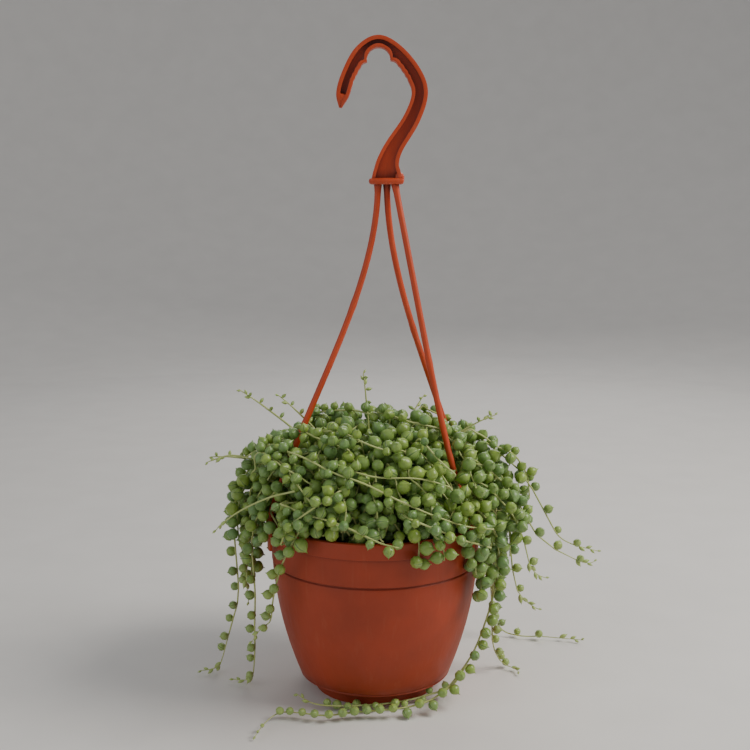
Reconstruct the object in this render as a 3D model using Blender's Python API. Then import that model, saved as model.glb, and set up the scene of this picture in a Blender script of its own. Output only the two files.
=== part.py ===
"""Potted string of pearls: a trailing succulent in a round plastic hanging pot with its clip-on hook.

Metres, +Z up. The origin is the middle of the pot's foot, on the ground. +X is the plant's right side
and -Y its front. Dimensions below are in millimetres; MM turns them into metres as meshes are made.
"""

import math
import random

import bmesh
import bpy
import numpy as np
from mathutils import Vector
from mathutils.bvhtree import BVHTree

MM = 0.001
GAP = 0.35  # air kept between separate pieces

# Pot: a moulded shell with a narrow foot, a swelling wall, a groove and a collar round the rim.
FOOT_R = 41.0
LEDGE_Z = 10.5
LEDGE_R = 51.0
GROOVE_Z = 89.4
GROOVE_R = 69.4
GROOVE_DEPTH = 0.7
BAND_R = 69.8
COLLAR_Z = 108.4
COLLAR_R = 72.0
RIM_Z = 119.0
WALL = 1.7
MOUTH_R = 68.2
WALL_BULGE = 3.4  # how far the wall swells out of the straight line from ledge to groove
POT_SIDES = 44
FLOOR = 2.0
DRAINS = 6
DRAIN_SIDES = 12
DRAIN_R = 3.0
DRAIN_RING_R = 26.0

# Potting soil.
SOIL_Z = 106.0
SOIL_CROWN = 3.0
SOIL_SIDES = 32

# Hanger: a moulded hook on a small plate, with three legs that clip over the collar.
PLATE_X = 7.7
PLATE_Z = 338.5
PLATE_W = 22.0
PLATE_D = 14.0
PLATE_T = 2.6
HOOK_D = 9.0
FLANGE = 2.7
WEB = 2.2
LEG_R = 2.05
LEG_SIDES = 6
LEG_STEPS = 12
CLIP_R = 72.4
CLIP_T = 2.2
CLIP_W = 5.6
CLIP_TOP = 123.0
CLIP_BOTTOM = 101.0
TOE_T = 3.2
# Each leg: where it leaves the plate, the clip's bearing in degrees, and how far it is bowed.
LEGS = ((1.9, 0.0, 200.0, 1.0), (7.7, 2.5, 30.0, 1.0), (12.8, -1.5, -32.0, 0.0))
LEG_BOW = 2.15  # how late a bowed leg turns outwards
LEG_FLARE = 0.15  # how much of a straight leg's spread comes in its last stretch
# Middle line of the hook from tip to plate: across, height, breadth of the band.
HOOK_LINE = (
    (-21.6, 387.0, 3.4),
    (-20.8, 395.6, 7.4),
    (-17.0, 406.9, 9.0),
    (-9.0, 420.6, 9.6),
    (1.6, 427.6, 8.4),
    (12.6, 422.2, 9.4),
    (23.7, 409.4, 10.2),
    (28.6, 396.2, 10.2),
    (23.4, 379.9, 10.8),
    (12.5, 362.8, 12.0),
    (8.4, 353.0, 14.4),
    (7.7, 346.0, 18.0),
    (7.7, PLATE_Z + 1.0, 21.0),
)
HOOK_STEPS = 2  # stations per span of the middle line

# Foliage: pearls on thin stems that rise from the soil, arch over a mound and hang over the rim.
SEED = 29
STEM_R = 0.75
PEARL_R = 4.6
PEDICEL = 1.6  # length of stem that each pearl grows from
SHARP = 0.7  # bend of the stem, in radians, past which its corner is cut
CORNER = 1.7  # how far from the corner
STRAIGHT = 0.45  # sharpest bend of the stem, in radians, at which a pearl grows
MOST_TRIMS = 12
SLIGHT = 0.16  # bend that a stem is drawn without
MOUND_Z = 118.0
MOUND_RISE = 66.0
MOUND_SIDE = 95.0
MOUND_FRONT = 77.0
MOUND_BACK = 86.0
MOUND_STRANDS = 40
TRIES = 32  # ways tried for each strand; the one with most pearls high up is kept
LONGEST = 26  # stations on a strand of the mound
ROOM = 0.5  # share of a pearl's radius kept free round a growing stem
LAYERS = (-11.0, -1.0)  # how far the strands' layers lie off the mound's surface
STEP = 4.2
RUNNER_TAPER = 0.42  # how much smaller pearls get from a trailing strand's root to its end
RUNNER_TIP = 0.92  # share of a trailing strand past which it has no pearls
SHOOT_SIZE = 0.75
SHOOT_TAPER = 0.35
SHOOT_PEARLED = 0.45  # share of a young shoot that has pearls
END_SIZE = 0.85  # size of the last pearls on a strand of the mound
END_FROM = 0.85
LOWEST_SIDE = 78.0
LOWEST_FRONT = 112.0
LOWEST_BACK = 102.0
MOUND_HEART = Vector((0.0, 0.0, 150.0))

# Strands that trail away from the mound: way points after the one in the soil.
RUNNERS = {
    "left_outer": (
        (-60, -8, 172), (-86, -5, 148), (-95, -3, 118), (-93, -2, 66), (-97, 0, 46),
        (-103, 5, 25), (-108, 10, 8), (-114, 10, 4), (-123, 9, 3),
    ),
    "left_short": (
        (-52, -24, 170), (-76, -22, 138), (-84, -14, 116), (-85, -15, 93), (-86, -17, 73), (-84, -17, 58),
    ),
    "left_inner": (
        (-44, -42, 160), (-69, -36, 138), (-80, -29, 112), (-79, -28, 74), (-80, -25, 50),
        (-81, -18, 26), (-84, -10, 7), (-92, -7, 3), (-99, -4, 3),
    ),
    "left_front": (
        (-34, -55, 148), (-48, -66, 124), (-57, -59, 106), (-63, -51, 87), (-66, -46, 72),
        (-68, -43, 59), (-75, -40, 52), (-83, -38, 39),
    ),
    "right_high": (
        (60, 16, 172), (92, 13, 152), (107, 10, 134), (119, 8, 112), (127, 6, 100), (141, 4, 94),
        (156, 2, 91),
    ),
    "right_front_high": (
        (66, -20, 158), (90, -15, 138), (101, -14, 119), (111, -16, 105), (128, -18, 95),
        (141, -18, 90), (150, -18, 93),
    ),
    "right_front_low": (
        (66, -29, 148), (86, -30, 131), (96, -27, 113), (101, -27, 94), (107, -27, 85), (118, -28, 82),
    ),
    "right_side": (
        (66, 34, 160), (88, 24, 130), (93, 8, 95), (95, 5, 72), (100, 4, 60), (108, 2, 53), (117, 0, 49),
    ),
    "right_back": (
        (42, 56, 156), (70, 62, 128), (83, 66, 100), (86, 70, 60), (88, 76, 25), (96, 80, 6),
        (110, 74, 3), (130, 73, 3), (157, 65, 3),
    ),
    "right_inner": (
        (64, 44, 146), (80, 32, 120), (83, 20, 95), (82, 15, 60), (82, 14, 29), (84, 14, 16),
        (90, 18, 5), (98, 13, 3), (101, 5, 3),
    ),
    "front_long": (
        (54, -46, 142), (76, -38, 120), (81, -28, 93), (77, -28, 67), (67, -32, 38), (57, -39, 24),
        (46, -47, 14), (34, -54, 9), (16, -58, 6), (-12, -59, 4), (-31, -64, 4), (-49, -60, 4),
        (-61, -60, 4), (-69, -74, 4), (-74, -92, 3),
    ),
}
SPACING = 2  # stations from one pearl to the next
# Strands whose pearls stand further apart on their outer stretch: how far, and where that begins.
SPARSE = {
    "left_outer": 3, "left_inner": 3, "right_high": 4, "right_front_high": 4, "right_front_low": 4,
    "right_side": 4, "right_back": 4,
}
SPARSE_FROM = 0.5
# Young tips that stand clear of the mound: the last point of each.
SHOOT_TIPS = (
    (-8, 2, 217), (-94, 6, 205), (-66, -18, 206), (-114, 0, 158),
    (-102, -44, 119), (36, 20, 200), (82, -2, 188),
)

TERRACOTTA = (0.46, 0.13, 0.06)
HANGER_ORANGE = (0.52, 0.11, 0.035)
SOIL_BROWN = (0.055, 0.035, 0.022)
PEARL_GREEN = (0.13, 0.27, 0.085)


def clear_scene():
    for obj in list(bpy.data.objects):
        bpy.data.objects.remove(obj, do_unlink=True)


def material(name, colour, roughness):
    made = bpy.data.materials.new(name)
    made.use_nodes = True
    shader = made.node_tree.nodes["Principled BSDF"]
    shader.inputs["Base Color"].default_value = (*colour, 1.0)
    shader.inputs["Roughness"].default_value = roughness
    shader.inputs["Metallic"].default_value = 0.0
    return made


def mesh_object(name, points, faces, made_of=None, smooth=True):
    mesh = bpy.data.meshes.new(name)
    mesh.from_pydata([tuple(c * MM for c in p) for p in points], [], faces)
    bm = bmesh.new()
    bm.from_mesh(mesh)
    bmesh.ops.recalc_face_normals(bm, faces=bm.faces)
    bm.to_mesh(mesh)
    bm.free()
    mesh.polygons.foreach_set("use_smooth", [smooth] * len(mesh.polygons))
    obj = bpy.data.objects.new(name, mesh)
    bpy.context.scene.collection.objects.link(obj)
    if made_of:
        mesh.materials.append(made_of)
    return obj


def helper(obj):
    obj.hide_render = True
    obj.display_type = "WIRE"
    return obj


def combine(obj, other, operation):
    modifier = obj.modifiers.new(other.name, "BOOLEAN")
    modifier.operation = operation
    modifier.solver = "EXACT"
    modifier.object = helper(other)


def revolve(name, profile, sides, made_of):
    """A closed solid from (radius, height) points, with a flat face across its first and last rings."""
    points = []
    for radius, height in profile:
        for i in range(sides):
            turn = math.tau * i / sides
            points.append((radius * math.cos(turn), radius * math.sin(turn), height))
    return mesh_object(name, points, ring_faces(len(profile), sides), made_of)


def ring_faces(rings, sides):
    """Faces of a closed skin over rings of points, with its two ends capped."""
    faces = [tuple(range(sides)), tuple(range((rings - 1) * sides, rings * sides))]
    for i in range(rings - 1):
        for k in range(sides):
            j = (k + 1) % sides
            faces.append((i * sides + k, i * sides + j, (i + 1) * sides + j, (i + 1) * sides + k))
    return faces


def box(name, centre, size, turn=0.0):
    """A box turned about Z: size is along the turned X, the turned Y and Z."""
    across = Vector((math.cos(turn), math.sin(turn), 0.0))
    along = Vector((-math.sin(turn), math.cos(turn), 0.0))
    points = []
    for sx in (-0.5, 0.5):
        for sy in (-0.5, 0.5):
            for sz in (-0.5, 0.5):
                offset = across * size[0] * sx + along * size[1] * sy
                points.append(Vector(centre) + offset + Vector((0.0, 0.0, size[2] * sz)))
    faces = [(0, 1, 3, 2), (4, 6, 7, 5), (0, 4, 5, 1), (2, 3, 7, 6), (0, 2, 6, 4), (1, 5, 7, 3)]
    return mesh_object(name, points, faces, smooth=False)


def wall_radius(height):
    """Outside radius of the pot at a height."""
    if height < LEDGE_Z:
        return FOOT_R + 0.4 * height / LEDGE_Z
    if height > COLLAR_Z:
        return COLLAR_R
    if height > GROOVE_Z:
        return BAND_R
    share = (height - LEDGE_Z) / (GROOVE_Z - LEDGE_Z)
    line = LEDGE_R + (GROOVE_R - LEDGE_R) * share
    return line + 4.0 * WALL_BULGE * share * (1.0 - share)


def make_pot(made_of):
    wall_steps = 6
    heights = [LEDGE_Z + 1.0 + (GROOVE_Z - LEDGE_Z - 1.6) * i / wall_steps for i in range(wall_steps + 1)]
    outside = [(FOOT_R - 0.5, 0.0), (FOOT_R, 0.5), (FOOT_R + 0.4, LEDGE_Z), (LEDGE_R - 0.7, LEDGE_Z)]
    outside += [(wall_radius(z), z) for z in heights]
    outside += [
        (GROOVE_R - GROOVE_DEPTH, GROOVE_Z - 0.1),
        (GROOVE_R - GROOVE_DEPTH, GROOVE_Z + 0.7),
        (BAND_R, GROOVE_Z + 1.2),
        (BAND_R, COLLAR_Z),
        (COLLAR_R - 0.5, COLLAR_Z),
        (COLLAR_R, COLLAR_Z + 0.5),
        (COLLAR_R, RIM_Z - 0.8),
        (COLLAR_R - 0.8, RIM_Z),
        (MOUTH_R + 0.6, RIM_Z),
    ]
    inside = [(MOUTH_R, RIM_Z - 0.6)]
    inside += [(wall_radius(z) - WALL, z) for z in reversed(heights[1:-1])]
    inside += [
        (LEDGE_R - WALL, LEDGE_Z + 2.6),
        (LEDGE_R - WALL - 0.8, LEDGE_Z + WALL),
        (FOOT_R - WALL, LEDGE_Z + WALL),
        (FOOT_R - WALL, FLOOR),
    ]
    pot = revolve("pot", outside + inside, POT_SIDES, made_of)
    drains = []
    faces = []
    for i in range(DRAINS):
        turn = math.tau * (i + 0.5) / DRAINS
        first = len(drains)
        for height in (-1.0, FLOOR + 1.0):
            for k in range(DRAIN_SIDES):
                a = math.tau * (k + 0.5) / DRAIN_SIDES
                x = DRAIN_RING_R * math.cos(turn) + DRAIN_R * math.cos(a)
                y = DRAIN_RING_R * math.sin(turn) + DRAIN_R * math.sin(a)
                drains.append((x, y, height))
        faces += [tuple(first + v for v in face) for face in ring_faces(2, DRAIN_SIDES)]
    combine(pot, mesh_object("drain_cutter", drains, faces), "DIFFERENCE")
    return pot


def soil_height(radius):
    return SOIL_Z + SOIL_CROWN * math.cos(min(1.0, radius / MOUTH_R) * math.pi / 2.0)


def make_soil(made_of):
    rise = (0.25, 0.5, 0.75, 0.92)
    top_r = BAND_R - WALL - GAP - 0.4
    below = [(FOOT_R - WALL - GAP, FLOOR + GAP)]
    below += [(FOOT_R - WALL - GAP, LEDGE_Z + WALL + GAP), (LEDGE_R - WALL - 1.6, LEDGE_Z + WALL + GAP)]
    side = []
    for share in rise:
        height = LEDGE_Z + (SOIL_Z - LEDGE_Z) * share
        side.append((wall_radius(height) - WALL - GAP - 0.75, height))
    crown = [(top_r * share, soil_height(top_r * share)) for share in (1.0, 0.8, 0.55, 0.28, 0.08)]
    return revolve("potting_soil", below + side + crown, SOIL_SIDES, made_of)


def spline(points, steps):
    """Points along a Catmull-Rom curve through the given ones."""
    points = [Vector(p) for p in points]
    ends = [points[0] * 2.0 - points[1], *points, points[-1] * 2.0 - points[-2]]
    made = []
    for i in range(len(points) - 1):
        a, b, c, d = ends[i : i + 4]
        for k in range(steps):
            t = k / steps
            made.append(
                0.5 * (2.0 * b + (c - a) * t + (2.0 * a - 5.0 * b + 4.0 * c - d) * t**2
                       + (3.0 * b - a - 3.0 * c + d) * t**3)
            )
    return [*made, points[-1]]


def make_hook():
    """The flanged band, swept along its middle line, with a recessed web on both faces."""
    stations = spline(HOOK_LINE, HOOK_STEPS)
    points = []
    for i, here in enumerate(stations):
        ahead = stations[min(i + 1, len(stations) - 1)] - stations[max(i - 1, 0)]
        normal = Vector((ahead.y, -ahead.x)).normalized()
        half = here.z / 2.0
        inner = max(half - FLANGE, half * 0.35)
        depth = HOOK_D / 2.0 * min(1.0, 0.45 + 0.2 * i)
        web = min(WEB / 2.0, depth * 0.8)
        outline = (
            (-half, -depth), (-inner, -depth), (-inner, -web), (inner, -web), (inner, -depth), (half, -depth),
            (half, depth), (inner, depth), (inner, web), (-inner, web), (-inner, depth), (-half, depth),
        )
        for across, out in outline:
            points.append((here.x + normal.x * across, out, here.y + normal.y * across))
    return points, ring_faces(len(stations), len(outline))


def leg_line(start_x, start_y, bearing, bow):
    """Middle line of a leg from the plate down to its clip."""
    turn = math.radians(bearing)
    radius = CLIP_R + CLIP_T / 2.0
    start = Vector((start_x, start_y, PLATE_Z + 1.0))
    end = Vector((radius * math.cos(turn), radius * math.sin(turn), CLIP_TOP - 1.5))
    line = []
    for i in range(LEG_STEPS + 1):
        t = i / LEG_STEPS
        bowed = LEG_BOW * t**2 + (1.0 - LEG_BOW) * t**3
        straight = (1.0 - LEG_FLARE) * t + LEG_FLARE * t**6
        across = bow * bowed + (1.0 - bow) * straight
        place = start.lerp(end, across)
        line.append(Vector((place.x, place.y, start.z + (end.z - start.z) * t)))
    return line


def tube(line, radius, sides):
    points = []
    for i, here in enumerate(line):
        ahead = (line[min(i + 1, len(line) - 1)] - line[max(i - 1, 0)]).normalized()
        across = ahead.cross(Vector((0.0, 1.0, 0.0))).normalized()
        out = ahead.cross(across)
        for k in range(sides):
            a = math.tau * k / sides
            points.append(here + across * radius * math.cos(a) + out * radius * math.sin(a))
    return points, ring_faces(len(line), sides)


def make_hanger(made_of):
    plate = box("hanger", (PLATE_X, 0.0, PLATE_Z + PLATE_T / 2.0), (PLATE_W, PLATE_D, PLATE_T))
    plate.data.materials.append(made_of)
    combine(plate, mesh_object("hook_tool", *make_hook()), "UNION")
    for i, (start_x, start_y, bearing, bow) in enumerate(LEGS):
        turn = math.radians(bearing)
        line = leg_line(start_x, start_y, bearing, bow)
        leg = mesh_object(f"leg_tool_{i + 1}", *tube(line, LEG_R, LEG_SIDES))
        combine(plate, leg, "UNION")
        strap_r = CLIP_R + CLIP_T / 2.0
        strap_z = (CLIP_TOP + CLIP_BOTTOM) / 2.0
        strap = box(
            f"strap_tool_{i + 1}",
            (strap_r * math.cos(turn), strap_r * math.sin(turn), strap_z),
            (CLIP_T, CLIP_W, CLIP_TOP - CLIP_BOTTOM),
            turn,
        )
        combine(plate, strap, "UNION")
        toe_in = BAND_R + GAP
        toe_out = CLIP_R + CLIP_T - 0.4
        toe_r = (toe_in + toe_out) / 2.0
        toe = box(
            f"toe_tool_{i + 1}",
            (toe_r * math.cos(turn), toe_r * math.sin(turn), COLLAR_Z - GAP - TOE_T / 2.0),
            (toe_out - toe_in, CLIP_W - 0.8, TOE_T),
            turn,
        )
        combine(plate, toe, "UNION")
    return plate


class Space:
    """Balls that stand for what has already been placed, so that nothing touches."""

    def __init__(self):
        self.places = np.zeros((0, 3))
        self.sizes = np.zeros(0)
        for leg in LEGS:
            line = leg_line(*leg)
            for here, after in zip(line, line[1:], strict=False):
                self.add([(here.lerp(after, k / 8.0), LEG_R) for k in range(8)])
            turn = math.radians(leg[2])
            out = CLIP_R + CLIP_T / 2.0
            heights = range(int(CLIP_BOTTOM), int(CLIP_TOP) + 1, 2)
            clip = [Vector((out * math.cos(turn), out * math.sin(turn), height)) for height in heights]
            self.add([(place, CLIP_W / 2.0 + 0.4) for place in clip])

    def add(self, balls):
        self.places = np.vstack([self.places, np.array([place[:] for place, _ in balls])])
        self.sizes = np.concatenate([self.sizes, np.array([size for _, size in balls])])

    def free(self, balls):
        """Whether every ball is clear of the ground, the pot, the soil and all that has been placed."""
        places = np.array([place[:] for place, _ in balls])
        sizes = np.array([size for _, size in balls])
        if (places[:, 2] - sizes < GAP).any():
            return False
        reach = np.hypot(places[:, 0], places[:, 1])
        for across, height, size in zip(reach, places[:, 2], sizes, strict=True):
            if height - size > RIM_Z + GAP:
                continue
            inside = across + size < MOUTH_R - GAP and height - size > soil_height(across) + GAP * 0.8
            if not inside and across - size < pot_reach(height, size) + GAP:
                return False
        apart = np.linalg.norm(places[:, None] - self.places[None], axis=2)
        return bool((apart > sizes[:, None] + self.sizes[None] + GAP).all())


def pot_reach(height, size):
    """Radius of the pot over the height that a ball takes."""
    return max(wall_radius(height + size * share) for share in (-1.0, -0.5, 0.0, 0.5, 1.0))


def stem_balls(line):
    """Balls along a stem, after its first point."""
    balls = []
    for a, b in zip(line, line[1:], strict=False):
        count = max(1, round((b - a).length / 1.3))
        balls += [(a.lerp(b, (k + 1) / count), STEM_R) for k in range(count)]
    return balls


def mound_reach(turn):
    """Half width of the mound at its foot, by bearing."""
    deep = MOUND_BACK if math.sin(turn) > 0.0 else MOUND_FRONT
    return 1.0 / math.hypot(math.cos(turn) / MOUND_SIDE, math.sin(turn) / deep)


def mound_point(place, lift):
    """The nearest point of the mound's surface to a place, and the way out of it there."""
    turn = math.atan2(place.y, place.x)
    reach = mound_reach(turn)
    radius = math.hypot(place.x, place.y) / reach
    height = (place.z - MOUND_Z) / MOUND_RISE
    if height < 0.0:
        out = Vector((math.cos(turn), math.sin(turn), 0.0))
        surface = out * reach
        surface.z = place.z
    else:
        size = math.hypot(radius, height)
        radius, height = radius / size, height / size
        surface = Vector((math.cos(turn) * radius * reach, math.sin(turn) * radius * reach, 0.0))
        surface.z = MOUND_Z + height * MOUND_RISE
        out = Vector((math.cos(turn) * radius / reach, math.sin(turn) * radius / reach, height / MOUND_RISE))
        out.normalize()
    return surface + out * lift, out


def lowest(turn, rng):
    side = math.cos(turn) ** 2
    end = LOWEST_BACK if math.sin(turn) > 0.0 else LOWEST_FRONT
    return end + (LOWEST_SIDE - end) * side + rng.uniform(-9.0, 5.0) * (0.35 + side)


def riser(space, rng, start):
    """Bare stem from the soil up to where a strand comes out on the mound; None if there is no room."""
    for _ in range(12):
        turn = math.atan2(start.y, start.x) + rng.uniform(-0.3, 0.3)
        reach = min(math.hypot(start.x, start.y) * rng.uniform(0.45, 0.7), MOUTH_R - 8.0)
        root = Vector((reach * math.cos(turn), reach * math.sin(turn), soil_height(reach) + STEM_R + GAP))
        knee = root.lerp(start, 0.5)
        knee.z = max(knee.z, root.z + 0.62 * (start.z - root.z))
        line = [root, knee, start]
        if space.free(stem_balls(line)):
            return line
    return None


def lean_pearl(space, own, stem, station, radius, side):
    """Finds a free way for a pearl to lean from its stem: the way and the ball it fills, or None."""
    place, ahead = station
    _, out = mound_point(place, 0.0)
    if abs(out.dot(ahead)) > 0.8:
        out = Vector((0.0, 0.0, 1.0))
    out = (out - ahead * out.dot(ahead)).normalized()
    across = ahead.cross(out).normalized()
    for lean in (38.0, 20.0, 56.0, 3.0, 74.0):
        for hand in (side, -side):
            turn = math.radians(lean) * hand
            way = (out * math.cos(turn) + across * math.sin(turn)).normalized()
            centre = place + way * (radius + STEM_R * 0.5)
            clear = all((centre - other).length > radius + size for other, size in own)
            clear = clear and all((centre - other).length > radius + 0.1 for other, _ in stem)
            if clear and space.free([(centre, radius)]):
                return way, (centre, radius)
    return None


def string_along(space, rng, line, bare, shrink, outer=SPACING):
    """Hangs pearls along a stem. Stations are (place, ahead, way of the pearl or None, its radius)."""
    stations = []
    pearls = []
    stem = stem_balls(line)
    side = 1.0
    last = len(line) - 1
    for i, here in enumerate(line):
        ahead = (line[min(i + 1, last)] - line[max(i - 1, 0)]).normalized()
        found = None
        radius = PEARL_R * rng.uniform(0.88, 1.06) * shrink(i / last)
        bend = (line[i + 1] - here).angle(here - line[i - 1]) if 0 < i < last else math.pi
        spacing = outer if i / last > SPARSE_FROM else SPACING
        if i >= bare and (i - bare) % spacing == 0 and bend < STRAIGHT and radius > 0.0:
            found = lean_pearl(space, pearls, stem, (here, ahead), radius, side)
            side = -side
        if found:
            pearls.append(found[1])
        if found or i <= bare or bend > SLIGHT or not stations[-1][2]:
            stations.append((here, ahead, found[0] if found else None, radius))
    return stations, pearls


def evenly(line, step):
    """The line again, with a station every step."""
    made = [line[0]]
    spare = 0.0
    for a, b in zip(line, line[1:], strict=False):
        length = (b - a).length
        along = step - spare
        while along <= length:
            made.append(a.lerp(b, along / length))
            along += step
        spare = length - (along - step)
    return made


def round_bends(line):
    """The line with each sharp corner cut by two points."""
    made = [line[0]]
    for before, here, after in zip(line, line[1:], line[2:], strict=False):
        if (after - here).angle(here - before) < SHARP:
            made.append(here)
            continue
        made.append(here.lerp(before, min(0.4, CORNER / (here - before).length)))
        made.append(here.lerp(after, min(0.4, CORNER / (after - here).length)))
    return [*made, line[-1]]


def grow_runner(space, rng, points, shrink, pearled, outer=SPACING):
    """A strand through way points, rooted in the soil; pearled is the share of it that has pearls."""
    rooted = riser(space, rng, Vector(points[0]))
    if rooted is None:
        return None
    line = round_bends([rooted[0], rooted[1], *evenly(spline([rooted[1], *points], 8), STEP)[1:]])
    stem = stem_balls(line)
    if not space.free(stem):
        return None
    bare = max(3, round(len(line) * (1.0 - pearled)))
    stations, pearls = string_along(space, rng, line, bare, shrink, outer)
    space.add(stem + pearls)
    return stations


def runner_shrink(share):
    """Pearls get smaller along a trailing strand, and its tip is bare."""
    return 1.0 - RUNNER_TAPER * share if share < RUNNER_TIP else 0.0


def shoot_shrink(share):
    return SHOOT_SIZE - SHOOT_TAPER * share


def mound_shrink(share):
    return 1.0 if share < END_FROM else END_SIZE


def try_mound(space, rng):
    """One try at a strand that spreads outwards over the mound and hangs over the rim."""
    turn = rng.uniform(-math.pi, math.pi)
    rise = rng.uniform(0.02, 0.995)
    flat = math.sqrt(1.0 - rise * rise) * mound_reach(turn)
    lift = rng.choice(LAYERS) + rng.uniform(-2.5, 2.5)
    start = Vector((flat * math.cos(turn), flat * math.sin(turn), MOUND_Z + rise * MOUND_RISE))
    start, _ = mound_point(start, lift)
    if not space.free([(start, PEARL_R)]):
        return None
    rooted = riser(space, rng, start)
    if rooted is None:
        return None
    line = rooted
    drift = rng.uniform(-1.2, 1.2)
    end = lowest(turn, rng)
    while line[-1].z > end and len(line) < LONGEST:
        step = mound_step(space, line[-1], lift, drift)
        if step is None:
            break
        line.append(step[0])
        drift = 0.88 * step[1] + rng.uniform(-0.22, 0.22)
    if len(line) < 6:
        return None
    line = round_bends(line)
    stations, pearls = string_along(space, rng, line, 3, mound_shrink)
    worth = sum(max(0.2, (place.z - MOUND_Z) / MOUND_RISE) for place, _ in pearls)
    return stations, stem_balls(line) + pearls, worth


def mound_step(space, here, lift, drift):
    """One step outwards and down over the mound, turning aside where the way is blocked."""
    surface, out = mound_point(here, lift)
    level = Vector((0.0, 0.0, 1.0)).cross(out)
    level = level.normalized() if level.length > 1e-6 else Vector((1.0, 0.0, 0.0))
    down = level.cross(out)
    down = down if down.z < 0.0 else -down
    for aside in (0.0, 0.35, -0.35, 0.8, -0.8):
        heading = drift + aside
        place = surface + (down * math.cos(heading) + level * math.sin(heading)) * STEP
        place, _ = mound_point(place, lift)
        if space.free([(place, PEARL_R * ROOM), *stem_balls([here, place])]):
            return place, heading
    return None


def grow_plant():
    """All strands as (name, points, faces)."""
    rng = random.Random(SEED)
    space = Space()
    grown = []
    for name, points in RUNNERS.items():
        stations = grow_runner(space, rng, points, runner_shrink, 1.0, SPARSE.get(name, SPACING))
        grown.append((f"strand_{name}", stations))
    for i, tip in enumerate(SHOOT_TIPS):
        base, out = mound_point(Vector(tip).lerp(MOUND_HEART, 0.35), -4.0)
        bend = base.lerp(Vector(tip), 0.5) + out * 3.0
        stations = grow_runner(space, rng, (base, bend, tip), shoot_shrink, SHOOT_PEARLED)
        grown.append((f"shoot_{i + 1}", stations))
    skins = [(name, clean_strand_mesh(stations)) for name, stations in grown if stations]
    for i in range(MOUND_STRANDS):
        tries = [tried for tried in (try_mound(space, rng) for _ in range(TRIES)) if tried]
        for stations, balls, _ in sorted(tries, key=lambda tried: -tried[2]):
            skin = clean_strand_mesh(stations)
            if skin:
                space.add(balls)
                skins.append((f"strand_{i + 1:02d}", skin))
                break
    return [(name, *skin) for name, skin in skins if skin]


def halves(a, b, c, d):
    """A four-sided face as two triangles."""
    return [(a, b, c), (a, c, d)]


def strand_mesh(stations):
    """A three-sided stem with a faceted pearl grown out of one of its sides at each pearl station."""
    points = []
    faces = []
    necks = {}
    level = stations[0][1].orthogonal()
    phase = 0.0
    third = math.tau / 3.0

    def ring(place):
        for k in range(3):
            turn = phase + third * (k + 0.5)
            points.append(place + (level * math.cos(turn) + across * math.sin(turn)) * STEM_R)

    for place, ahead, way, radius in stations:
        level = (level - ahead * level.dot(ahead)).normalized()
        across = ahead.cross(level)
        if way is None:
            ring(place)
            continue
        turn = math.atan2(way.dot(across), way.dot(level))
        side = round((turn - phase) / third)
        phase = turn - side * third
        necks[len(points)] = (side % 3, place, ahead, way, radius)
        ring(place - ahead * PEDICEL / 2.0)
        ring(place + ahead * PEDICEL / 2.0)
    faces.append((0, 1, 2))
    faces.append((len(points) - 1, len(points) - 2, len(points) - 3))
    for first in range(0, len(points) - 3, 3):
        for k in range(3):
            if first not in necks or k != necks[first][0]:
                before = (k - 1) % 3
                faces += halves(first + before, first + k, first + 3 + k, first + 3 + before)
    for first, (side, place, ahead, way, radius) in necks.items():
        grow_pearl(points, faces, first, side, (place, ahead, way, radius))
    return points, faces


def grow_pearl(points, faces, first, side, station):
    """Adds a pearl on the open side of the stem between two rings: four belly points and a tip."""
    place, ahead, way, radius = station
    before = (side - 1) % 3
    neck = (first + before, first + side, first + 3 + side, first + 3 + before)
    across = ahead.cross(way)
    spread = radius * math.sqrt(0.5)
    middle = place + way * (STEM_R * 0.5 + radius)
    belly = len(points)
    for along, over in ((-1, -1), (-1, 1), (1, 1), (1, -1)):
        points.append(middle + ahead * spread * along + across * spread * over)
    tip = len(points)
    points.append(middle + way * radius)
    for k in range(4):
        j = (k + 1) % 4
        faces += halves(neck[k], neck[j], belly + j, belly + k)
        faces.append((belly + k, belly + j, tip))


def crossing(points, faces):
    """A point where two faces with no corner in common meet, or None."""
    tree = BVHTree.FromPolygons(points, faces)
    for a, b in tree.overlap(tree):
        if not set(faces[a]) & set(faces[b]):
            return points[faces[a][0]]
    return None


def clean_strand_mesh(stations):
    """The strand's mesh, less any pearl or corner that would make it cross itself; None if it still does."""
    points, faces = strand_mesh(stations)
    for _ in range(MOST_TRIMS):
        spot = crossing(points, faces)
        if spot is None:
            return points, faces
        worst = station_at(stations, spot)
        place, ahead, way, radius = stations[worst]
        kept = [(place, ahead, None, radius)] if way else []
        stations = [*stations[:worst], *kept, *stations[worst + 1 :]]
        points, faces = strand_mesh(stations)
    return None


def station_at(stations, spot):
    """The station that a crossing comes from: that of a pearl round the spot, or else the nearest."""
    for i, (place, _, way, radius) in enumerate(stations):
        if way and (place + way * (STEM_R * 0.5 + radius) - spot).length < radius + STEM_R:
            return i
    return min(range(1, len(stations) - 1), key=lambda i: (stations[i][0] - spot).length)


def main():
    clear_scene()
    make_pot(material("terracotta_plastic", TERRACOTTA, 0.5))
    make_hanger(material("orange_plastic", HANGER_ORANGE, 0.42))
    make_soil(material("potting_soil", SOIL_BROWN, 0.95))
    for name, points, faces in grow_plant():
        mesh_object(name, points, faces, material(name, PEARL_GREEN, 0.45))


main()
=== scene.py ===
"""Potted string of pearls: the finished look of the plant, its terracotta pot and its clip-on hanger."""

import math
import random

import bmesh
import bpy
import numpy as np
from bpy.props import FloatProperty, FloatVectorProperty, IntProperty, PointerProperty, StringProperty
from bpy.types import Operator, Panel, PropertyGroup
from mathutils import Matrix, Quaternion, Vector
from mathutils.bvhtree import BVHTree


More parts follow.
